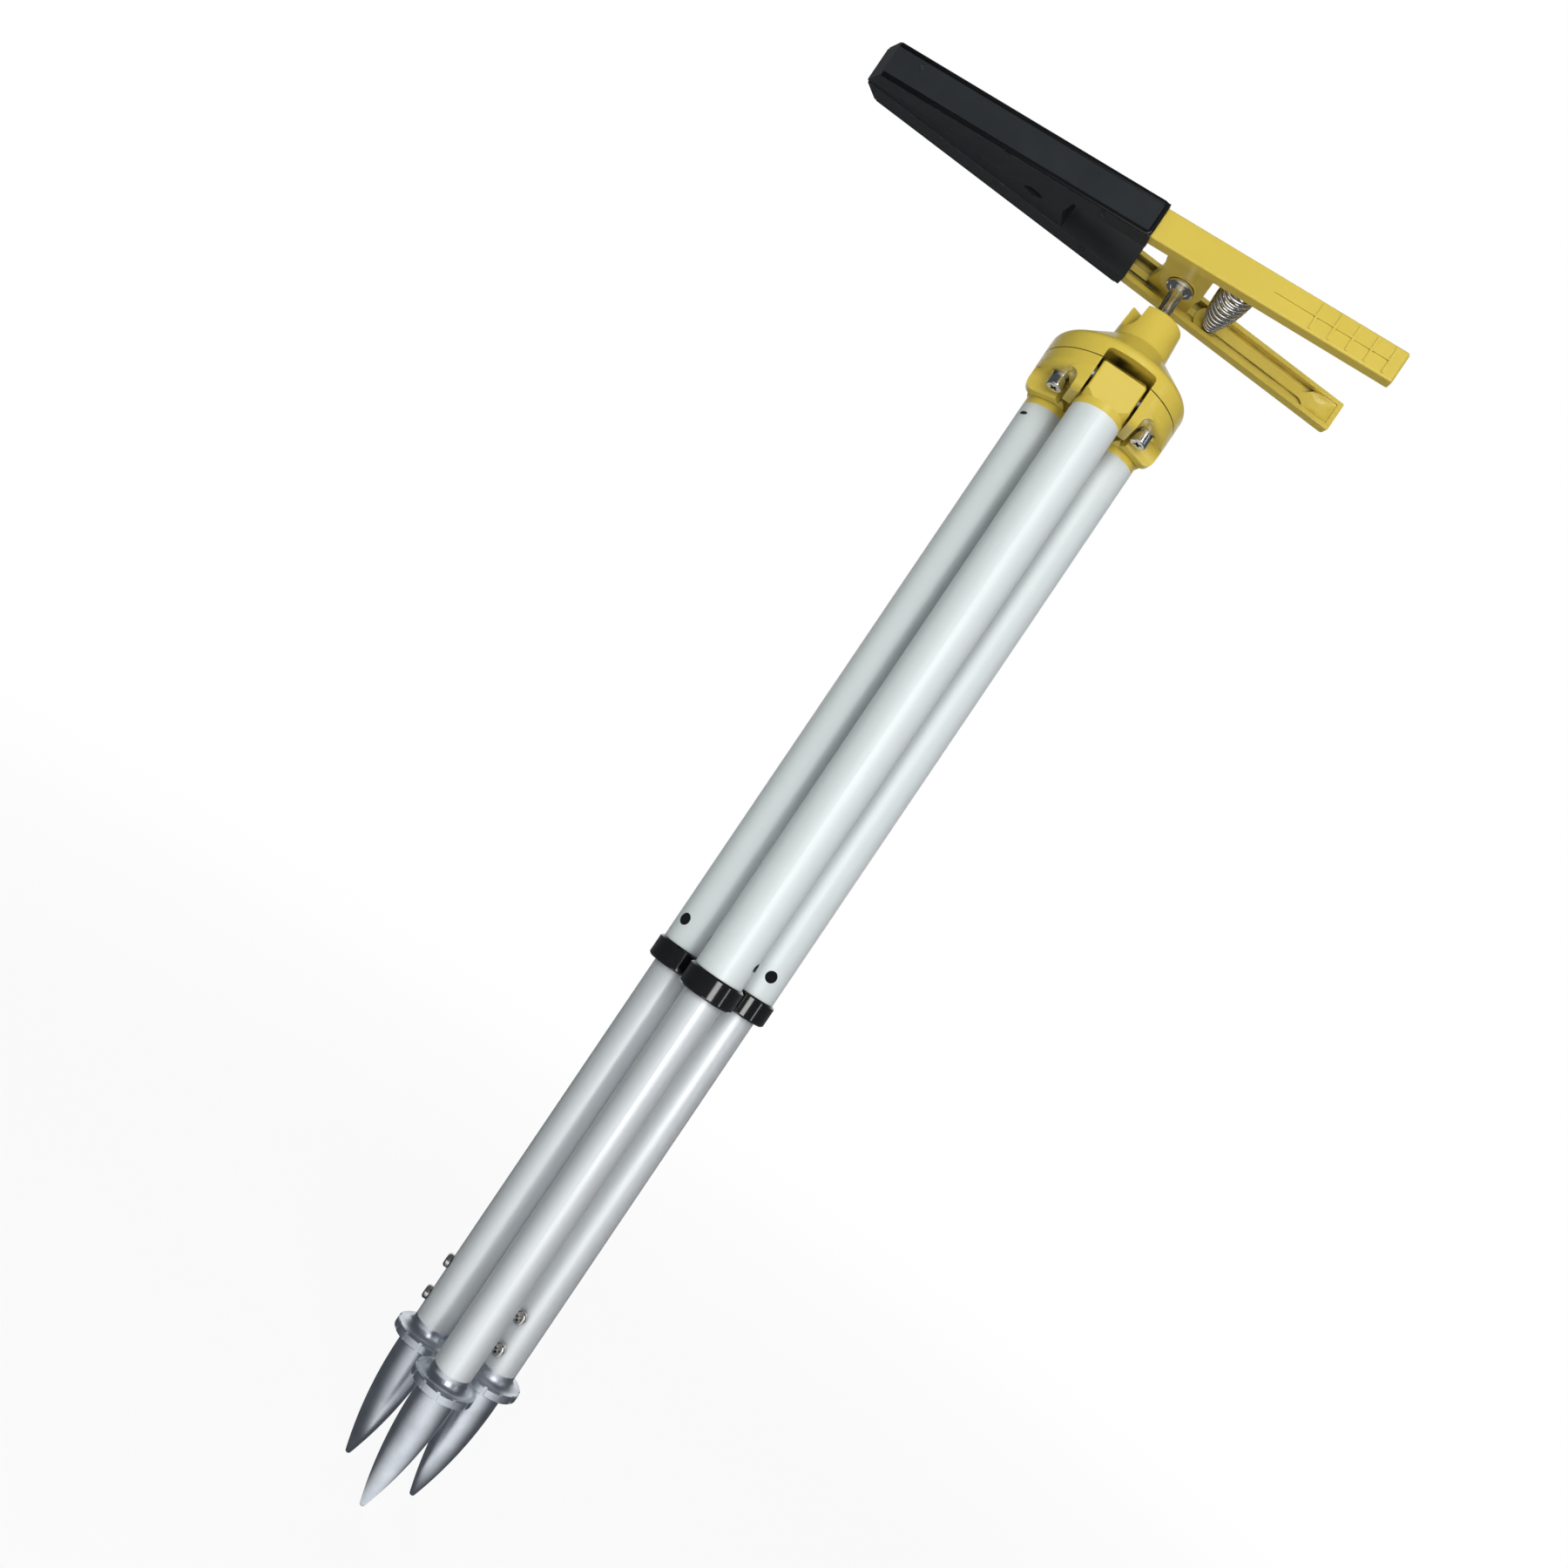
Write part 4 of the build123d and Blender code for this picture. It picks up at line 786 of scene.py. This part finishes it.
@dataclass
class BallJoint:
    """The ball stud, what holds it in the boss, and the nut on top of the clamp."""

    bright: tuple[str, ...] = ("ball_stud", "pivot_washer", "pivot_nut", "pressure_screw")

    def dress(self, finishes: Finishes) -> None:
        """Dresses the CAD nodes of the ball joint.

        Args:
            finishes: the tripod's finishes.
        """
        finishes.dress_nodes(Finishes.NICKEL, *self.bright)
        finishes.dress_nodes(Finishes.WIRE, "disc_springs")
        finishes.dress_nodes(Finishes.NYLON, "friction_cup")


@dataclass
class ClampSpring:
    """Conical coil of round wire that spreads the handles.

    The coil runs along Y, and its pitch is given for the first and the last turn, which lie
    on their seats.
    """

    wire: float = 0.0018
    turns: int = 11
    wide: float = 0.0090
    narrow: float = 0.0043
    taper: float = 3.0
    wide_pitch: float = 0.00359
    narrow_pitch: float = 0.0025
    steps: int = 40
    sides: int = 14
    nudge: float = 0.01
    reach: float = field(init=False)
    height: float = field(init=False)
    start: float = field(init=False)
    end: float = field(init=False)

    def __post_init__(self) -> None:
        """Takes the coil's axis and ends from the solid spring."""
        lowest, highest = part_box("clamp_spring")
        self.reach = hundredths((lowest.x + highest.x) / 2)
        self.height = hundredths((lowest.z + highest.z) / 2)
        self.start = hundredths(lowest.y + self.wire / 2)
        self.end = hundredths(highest.y - self.wire / 2)

    def centre(self, turn: float) -> Vector:
        """Middle of the wire after a number of turns from the front seat.

        Args:
            turn: turns from the start.

        Returns:
            The point in the row frame.
        """
        open_length = self.end - self.start - self.wide_pitch - self.narrow_pitch
        open_pitch = open_length / (self.turns - 2)
        seated = min(turn, 1.0)
        last = max(turn - self.turns + 1, 0.0)
        free = turn - seated - last
        travel = seated * self.wide_pitch + free * open_pitch + last * self.narrow_pitch
        narrowing = min(turn / (self.turns - 1), 1.0) ** self.taper
        radius = self.wide + (self.narrow - self.wide) * narrowing
        angle = math.tau * turn
        return Vector((
            self.reach + radius * math.cos(angle),
            self.start + travel,
            self.height + radius * math.sin(angle),
        ))

    def build(self) -> Object:
        """Sweeps the wire's round section along the coil.

        Returns:
            The spring, as one mesh.
        """
        rings: list[list[Vector]] = []
        for index in range(self.turns * self.steps + 1):
            turn = index / self.steps
            before = self.centre(max(turn - self.nudge, 0.0))
            after = self.centre(min(turn + self.nudge, self.turns))
            way = (after - before).normalized()
            middle = self.centre(turn)
            out = Vector((middle.x - self.reach, 0.0, middle.z - self.height))
            out = (out - way * out.dot(way)).normalized()
            across = way.cross(out)
            rings.append([
                middle + (out * math.cos(angle) + across * math.sin(angle)) * self.wire / 2
                for angle in round_angles(self.sides)
            ])
        spring = rings_piece("spring_coil", rings)
        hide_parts("clamp_spring")
        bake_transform(spring)
        return spring


@dataclass
class ArmFrame:
    """Own axes of one clamp arm: X along it to the handle, Y outwards, Z up from its foot.

    The splay is the arm's turn about the pivot in degrees.
    """

    jaw: Jaw
    splay: float = 5.7
    foot: float = field(init=False)

    def __post_init__(self) -> None:
        """Takes the height of the arm's foot from its solid."""
        self.foot = hundredths(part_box(f"{self.jaw.word}_clamp_arm")[0].z)

    @property
    def body(self) -> str:
        """The body that the arm's pieces ride."""
        return f"{self.jaw.word}_clamp"

    @property
    def turn(self) -> Matrix:
        """The arm's turn about the pivot."""
        return Matrix.Rotation(math.radians(self.jaw.value * self.splay), 3, "Z")

    def way(self, along: float, out: float, up: float) -> Vector:
        """Direction given along the arm, outwards and up."""
        return self.turn @ Vector((along, self.jaw.value * out, up))

    def point(self, along: float, out: float, up: float) -> Vector:
        """Point given along the arm from the pivot, outwards from it and up from its foot."""
        return self.way(along, out, up) + Vector((0.0, 0.0, self.foot))

    def extent(self, kind: str) -> tuple[Point, Point]:
        """How far one of the arm's solids reaches along the arm, outwards and up.

        Args:
            kind: the solid's name without the arm's word.

        Returns:
            Its lowest and its highest corner.
        """
        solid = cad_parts[f"{self.jaw.word}_{kind}"]
        back = self.turn.transposed()
        spots = [back @ (solid.matrix_world @ vertex.co) for vertex in solid.data.vertices]
        axes = (
            [spot.x for spot in spots],
            [spot.y * self.jaw.value for spot in spots],
            [spot.z - self.foot for spot in spots],
        )
        return tuple(tuple(hundredths(end(axis)) for axis in axes) for end in (min, max))


@dataclass
class ArmScoop:
    """Spoon-shaped thumb hollow inside the handle end of an arm.

    It starts and ends short of the handle's end, lies under the arm's outer face and leaves a
    margin above and below. Its walls rise along both sides and to the end: the powers say how
    sharply, and the ramp how soon the side walls reach their height.
    """

    start_gap: float = 0.018
    end_gap: float = 0.0029
    depth: float = 0.0043
    margin: float = 0.0023
    skin: float = 0.0001
    rise: float = 0.0028
    side_power: float = 3.2
    side_ramp: float = 2.5
    end_power: int = 3
    steps: int = 22

    def build(self, arm: ArmFrame) -> Object:
        """Bends a grid into the hollow and closes it behind.

        Args:
            arm: the arm that it belongs to.

        Returns:
            The hollow's lining, riding the arm.
        """
        _, (handle, outer, height) = arm.extent("clamp_arm")
        start, length = handle - self.start_gap, self.start_gap - self.end_gap
        floor = outer - self.depth
        low, high = self.margin, height - self.margin
        rings: list[list[Vector]] = []
        for index in range(self.steps + 1):
            share = index / self.steps
            along = start + length * share
            ring: list[Vector] = []
            for step in range(self.steps + 1):
                across = step / self.steps
                up = low + (high - low) * across
                wall = abs(2.0 * across - 1.0) ** self.side_power
                wall *= min(1.0, share * self.side_ramp)
                lift = min(1.0, math.hypot(wall, share ** self.end_power))
                ring.append(arm.point(along, floor - self.skin - self.rise * lift, up))
            ring.append(arm.point(along, floor, high))
            ring.append(arm.point(along, floor, low))
            rings.append(ring)
        piece = rings_piece(f"{arm.jaw.word}_arm_scoop", rings)
        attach(piece, arm.body)
        return piece


@dataclass
class SleeveTrim:
    """Moulded bead round the outer face of a jaw sleeve, and the marks of its mould.

    The gaps are those of the bead's middle to the sleeve's tip, end and edges. Marks are placed
    along from the tip, and then up from the sleeve's foot or in from its outer face. A mark's
    profile holds pairs of reach and lift, as shares of the mark's size.
    """

    tip_gap: float = 0.0084
    end_gap: float = 0.0011
    edge_gap: float = 0.0013
    pocket_shade_mask: float = 0.0005
    proud: float = 0.0012
    half: float = 0.0014
    corner: float = 0.0022
    corner_steps: int = 8
    sides: int = 16
    outer_mark: Span = (0.0243, 0.0141)
    under_marks: tuple[Span, ...] = ((0.0849, 0.003), (0.1428, 0.0055))
    mark_size: float = 0.0015
    mark_profile: tuple[Span, ...] = (
        (1.0, -0.25), (1.0, 0.16), (0.86, 0.27), (0.62, 0.27),
        (0.5, 0.06), (0.32, 0.05), (0.16, 0.24), (0.02, 0.3),
    )

    def path(self, arm: ArmFrame) -> list[tuple[Span, Span]]:
        """Middle of the bead, as places along and up and the way it runs.

        Args:
            arm: the arm that wears the sleeve.

        Returns:
            Pairs of place and direction.
        """
        (tip, _, foot), (end, _, top) = arm.extent("jaw_sleeve")
        start, along = tip + self.tip_gap, end - self.end_gap - self.corner
        low, high = foot + self.edge_gap, top - self.edge_gap
        steps = [((start, low), (1.0, 0.0))]
        for up, first in ((low + self.corner, -90.0), (high - self.corner, 0.0)):
            for index in range(self.corner_steps + 1):
                angle = math.radians(first + 90.0 * index / self.corner_steps)
                run, climb = math.cos(angle), math.sin(angle)
                place = (along + self.corner * run, up + self.corner * climb)
                steps.append((place, (-climb, run)))
        steps.append(((start, high), (-1.0, 0.0)))
        return steps

    def bead(self, arm: ArmFrame) -> Object:
        """Sweeps the bead's oval section round the face.

        Args:
            arm: the arm that wears the sleeve.

        Returns:
            The bead, riding the arm.
        """
        _, (_, outer, _) = arm.extent("jaw_sleeve")
        rings: list[list[Vector]] = []
        for (along, up), (run, climb) in self.path(arm):
            ring: list[Vector] = []
            for angle in round_angles(self.sides):
                shift = self.half * math.sin(angle)
                out = outer - self.pocket_shade_mask + self.proud * math.cos(angle)
                ring.append(arm.point(along + climb * shift, out, up - run * shift))
            rings.append(ring)
        piece = rings_piece(f"{arm.jaw.word}_sleeve_bead", rings)
        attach(piece, arm.body)
        return piece

    def marks(self, arm: ArmFrame) -> Object:
        """Turns the small round marks of the mould's pins on the sleeve.

        Args:
            arm: the arm that wears the sleeve.

        Returns:
            The marks as one piece, riding the arm.
        """
        (tip, _, foot), (_, outer, _) = arm.extent("jaw_sleeve")
        outwards, up, down = (0.0, 1.0, 0.0), (0.0, 0.0, 1.0), (0.0, 0.0, -1.0)
        along, rise = self.outer_mark
        spots = [((tip + along, outer, foot + rise), outwards, up)]
        for along, inset in self.under_marks:
            spots.append(((tip + along, outer - inset, foot), down, outwards))
        points: list[Vector] = []
        faces: list[list[int]] = []
        for spot, normal, across in spots:
            middle, face, side_way = arm.point(*spot), arm.way(*normal), arm.way(*across)
            ahead = face.cross(side_way)
            faces += ring_faces(len(self.mark_profile), self.sides, first=len(points))
            for reach, lift in self.mark_profile:
                for angle in round_angles(self.sides):
                    flat = side_way * math.cos(angle) + ahead * math.sin(angle)
                    points.append(middle + (flat * reach + face * lift) * self.mark_size)
        piece = mesh_piece(f"{arm.jaw.word}_sleeve_marks", points, faces)
        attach(piece, arm.body)
        return piece


@dataclass
class Clamp:
    """The two sprung arms, their black jaw sleeves and the spring between the handles."""

    spring: ClampSpring
    scoop: ArmScoop
    trim: SleeveTrim

    def dress(self, finishes: Finishes) -> None:
        """Builds the spring, hollows and trim, and dresses the arms and sleeves.

        Args:
            finishes: the tripod's finishes.
        """
        for jaw in Jaw:
            arm = ArmFrame(jaw)
            finishes.dress_nodes(Finishes.ENAMEL, f"{jaw.word}_clamp_arm")
            finishes.dress_nodes(Finishes.SLEEVE, f"{jaw.word}_jaw_sleeve")
            finishes.dress(self.scoop.build(arm), Finishes.ENAMEL)
            finishes.dress(self.trim.bead(arm), Finishes.BEAD)
            finishes.dress(self.trim.marks(arm), Finishes.SLEEVE)
        finishes.dress(self.spring.build(), Finishes.WIRE)
        finishes.dress_nodes(Finishes.WIRE, "clamp_spring")


@dataclass
class Leg:
    """One telescopic leg from its knuckle in the head down to its spiked foot.

    The stake mark lies below the top of the upper tube, turned in degrees from the side that
    faces outwards. Its profile holds pairs of reach, as a share of its half size, and of lift,
    as a share of its lip.
    """

    side: Side
    stake_turn: float = 180.0
    stake_drop: float = 0.0066
    stake_wide: float = 0.0054
    stake_tall: float = 0.0019
    stake_lip: float = 0.00028
    stake_sides: int = 24
    stake_profile: tuple[Span, ...] = (
        (1.0, -0.6), (1.0, 0.2), (0.88, 0.8), (0.7, 0.7), (0.5, 0.12), (0.25, 0.08), (0.03, 0.08),
    )

    def stake(self) -> Object:
        """Presses the oval stake mark that holds the knuckle's spigot in the upper tube.

        Returns:
            The mark, riding the leg.
        """
        lowest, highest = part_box(f"{self.side.value}_upper_tube")
        axis = (Vector(lowest) + Vector(highest)) / 2
        radius = (highest.x - lowest.x) / 2
        height = hundredths(highest.z - self.stake_drop)
        bearing = math.atan2(axis.y, axis.x) + math.radians(self.stake_turn)
        rings: list[list[Vector]] = []
        for reach, lift in self.stake_profile:
            out = radius + lift * self.stake_lip
            ring: list[Vector] = []
            for angle in round_angles(self.stake_sides):
                turn = bearing + reach * math.cos(angle) * self.stake_wide / 2 / radius
                up = height + reach * math.sin(angle) * self.stake_tall / 2
                across = (axis.x + out * math.cos(turn), axis.y + out * math.sin(turn))
                ring.append(Vector((*across, up)))
            rings.append(ring)
        piece = rings_piece(f"{self.side.value}_stake_mark", rings)
        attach(piece, f"{self.side.value}_upper_leg")
        return piece

    def dress(self, finishes: Finishes) -> None:
        """Presses the stake mark and dresses the CAD nodes of the leg.

        Args:
            finishes: the tripod's finishes.
        """
        finishes.dress(self.stake(), Finishes.STAKE)
        looks = {
            "knuckle": Finishes.ENAMEL,
            "hinge_pin": Finishes.NICKEL,
            "upper_tube": Finishes.UPPER_TUBE,
            "guide_bush": Finishes.BUSH,
            "lower_tube": Finishes.LOWER_TUBE,
            "lock_plug": Finishes.FOOT,
            "lock_sleeve": Finishes.NYLON,
            "foot": Finishes.FOOT,
            "foot_screws": Finishes.NICKEL,
        }
        for piece, finish in looks.items():
            finishes.dress_nodes(finish, f"{self.side.value}_{piece}")


@dataclass(frozen=True)
class SoftBox:
    """One soft studio lamp, placed round the object by its azimuth in degrees from the front."""

    name: str
    azimuth: float
    height: float
    distance: float
    width: float
    tall: float
    tint: Colour
    power: float
    mirrored: bool = False

    def build(self, aim: Vector) -> None:
        """Makes the lamp and turns it to the object.

        Args:
            aim: the point it faces.
        """
        angle = math.radians(self.azimuth)
        ahead = Vector((math.sin(angle), -math.cos(angle), 0.0))
        place = ahead * self.distance + Vector((0.0, 0.0, self.height))
        lamp = bpy.data.lights.new(self.name, "AREA")
        lamp.shape = "RECTANGLE"
        lamp.size, lamp.size_y = self.width, self.tall
        lamp.energy = self.power
        lamp.color = self.tint
        holder = bpy.data.objects.new(self.name, lamp)
        holder.location = place
        holder.rotation_euler = (aim - place).to_track_quat("-Z", "Y").to_euler()
        holder.visible_glossy = self.mirrored
        bpy.context.scene.collection.objects.link(holder)


@dataclass
class Studio:
    """Pale floor, white backdrop, soft lamps and the camera.

    The gleam is a painted reflection: a stretch of floor that glows white for mirrors only. Its
    bearing and reach, in degrees, are given at the two ends of its ring, and it fades out at its end.
    """

    aim: Point = (0.0, 0.0, 0.42)
    camera_place: Point = (-0.0316, -0.7065, 0.3734)
    camera_turn: Point = (90.27, -34.02, -0.75)
    lens: float = 31.02
    sensor: float = 36.0
    shift: Span = (0.0293, 0.0488)
    clip: Span = (0.02, 60.0)
    floor_reach: float = 6.0
    floor_colour: Colour = (0.86, 0.86, 0.86)
    fade: Span = (0.4, 1.8)
    near_share: float = 0.92
    ambient: Colour = (0.14, 0.14, 0.14)
    room: Colour = (0.08, 0.088, 0.096)
    gleam_ring: Span = (0.05, 0.28)
    gleam_bearing: Span = (22.0, -4.0)
    gleam_reach: Span = (95.0, 85.0)
    gleam_end: Span = (1.4, 2.6)
    behind: Span = (0.5, 0.97)
    lamps: tuple[SoftBox, ...] = (
        SoftBox(
            "front_box", azimuth=0.0, height=0.75, distance=1.7, width=0.8, tall=1.5,
            tint=(0.97, 1.0, 1.0), power=13.0,
        ),
        SoftBox(
            "key_strip", azimuth=17.0, height=0.62, distance=1.5, width=0.48, tall=1.25,
            tint=(1.0, 0.995, 0.99), power=7.8, mirrored=True,
        ),
        SoftBox(
            "edge_strip", azimuth=62.0, height=0.55, distance=1.4, width=0.10, tall=1.5,
            tint=(0.95, 0.95, 1.0), power=1.4, mirrored=True,
        ),
        SoftBox(
            "left_fill", azimuth=-60.0, height=0.7, distance=1.7, width=0.7, tall=1.4,
            tint=(0.88, 1.0, 0.94), power=2.4,
        ),
        SoftBox(
            "back_fill", azimuth=188.0, height=0.95, distance=1.8, width=1.2, tall=1.5,
            tint=WHITE, power=12.0,
        ),
    )

    def build(self) -> None:
        """Sets up everything round the object."""
        bpy.context.scene.view_settings.view_transform = "Standard"
        for lamp in self.lamps:
            lamp.build(Vector(self.aim))
        self._floor()
        self._world()
        self._camera()

    def _camera(self) -> None:
        """Sets the camera where the photograph was taken from."""
        eye = bpy.data.cameras.new("camera")
        eye.sensor_width = self.sensor
        eye.lens = self.lens
        eye.shift_x, eye.shift_y = self.shift
        eye.clip_start, eye.clip_end = self.clip
        camera = bpy.data.objects.new("camera", eye)
        camera.location = self.camera_place
        camera.rotation_euler = [math.radians(angle) for angle in self.camera_turn]
        bpy.context.scene.collection.objects.link(camera)
        bpy.context.scene.camera = camera

    @staticmethod
    def _seen(wires: Wiring, path: Node) -> Source:
        """1 for rays that come from the camera, straight or through something clear."""
        rays = path.outputs
        return wires.calc("MAXIMUM", rays["Is Camera Ray"], rays["Is Transmission Ray"])

    def _floor(self) -> None:
        """Pale floor that keeps the shadow and fades to the white backdrop."""
        reach = self.floor_reach
        corners = [(x * reach, y * reach, 0.0) for x, y in ((-1, -1), (1, -1), (1, 1), (-1, 1))]
        floor = mesh_piece("floor", corners, [[0, 1, 2, 3]], smooth=False)
        paint = bpy.data.materials.new("pale_floor")
        paint.use_nodes = True
        paint.node_tree.nodes.clear()
        wires = Wiring(paint.node_tree)
        matt = wires.node("ShaderNodeBsdfDiffuse")
        wires.feed(matt.inputs["Color"], self.floor_colour)
        place = wires.node("ShaderNodeTexCoord").outputs["Object"]
        length = wires.node("ShaderNodeVectorMath", operation="LENGTH")
        wires.feed(length.inputs[0], place)
        away = length.outputs["Value"]
        path = wires.node("ShaderNodeLightPath")
        seen = self._seen(wires, path)
        far = wires.spread(away, self.fade, (self.near_share, 1.0), smooth=True)
        shown = wires.calc("MULTIPLY", far, seen)
        glow = wires.node("ShaderNodeEmission")
        wires.feed(glow.inputs["Color"], self._floor_glow(wires, place, away, seen))
        both = wires.node("ShaderNodeMixShader")
        wires.feed(both.inputs[0], wires.calc("MAXIMUM", shown, path.outputs["Is Glossy Ray"]))
        wires.feed(both.inputs[1], matt.outputs[0])
        wires.feed(both.inputs[2], glow.outputs[0])
        wires.feed(wires.node("ShaderNodeOutputMaterial").inputs[0], both.outputs[0])
        floor.data.materials.append(paint)

    def _floor_glow(self, wires: Wiring, place: Source, away: Source, seen: Source) -> Source:
        """Floor's own colour: white to the camera, and to mirrors a painted reflection, a glowing
        stretch of white.

        Args:
            wires: the floor's node tree.
            place: the point on the floor.
            away: its distance from the object's axis.
            seen: 1 for rays of the camera.

        Returns:
            The colour's socket.
        """
        parts = wires.node("ShaderNodeSeparateXYZ")
        wires.feed(parts.inputs[0], place)
        ahead = wires.calc("MULTIPLY", parts.outputs["Y"], -1.0)
        bearing = wires.calc("ARCTAN2", parts.outputs["X"], ahead)
        middle, reach = (
            wires.spread(away, self.gleam_ring, tuple(map(math.radians, ends)))
            for ends in (self.gleam_bearing, self.gleam_reach)
        )
        off = wires.calc("ABSOLUTE", wires.calc("SUBTRACT", bearing, middle))
        glow_share = wires.spread(wires.calc("DIVIDE", off, reach), (1.0, 0.0), smooth=True)
        within = wires.spread(away, self.gleam_end, (1.0, 0.0), smooth=True)
        # Painted reflection: this stretch of floor glows white for glossy rays only.
        mirrored = wires.blend(wires.calc("MULTIPLY", glow_share, within), self.room, WHITE)
        return wires.blend(seen, mirrored, WHITE)

    def _world(self) -> None:
        """White backdrop for the camera, and behind the object for mirrors; soft light besides."""
        world = bpy.data.worlds.new("studio")
        bpy.context.scene.world = world
        world.use_nodes = True
        world.node_tree.nodes.clear()
        wires = Wiring(world.node_tree)
        parts = wires.node("ShaderNodeSeparateXYZ")
        wires.feed(parts.inputs[0], wires.node("ShaderNodeTexCoord").outputs["Generated"])
        path = wires.node("ShaderNodeLightPath")
        behind = wires.spread(parts.outputs["Y"], self.behind, smooth=True)
        mirrored = wires.blend(behind, self.room, WHITE)
        unseen = wires.blend(path.outputs["Is Glossy Ray"], self.ambient, mirrored)
        sky = wires.node("ShaderNodeBackground")
        wires.feed(sky.inputs["Color"], wires.blend(self._seen(wires, path), unseen, WHITE))
        wires.feed(wires.node("ShaderNodeOutputWorld").inputs[0], sky.outputs[0])


def main() -> None:
    """Builds and dresses the tripod, then the studio round it."""
    logging.basicConfig(level=logging.INFO, format="%(name)s %(message)s")
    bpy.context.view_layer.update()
    finishes = Finishes()
    Head().dress(finishes)
    BallJoint().dress(finishes)
    Clamp(ClampSpring(), ArmScoop(), SleeveTrim()).dress(finishes)
    for leg in (Leg(Side.FRONT), Leg(Side.RIGHT), Leg(Side.LEFT, stake_turn=67.0)):
        leg.dress(finishes)
    Studio().build()


if __name__ == "__main__":
    main()
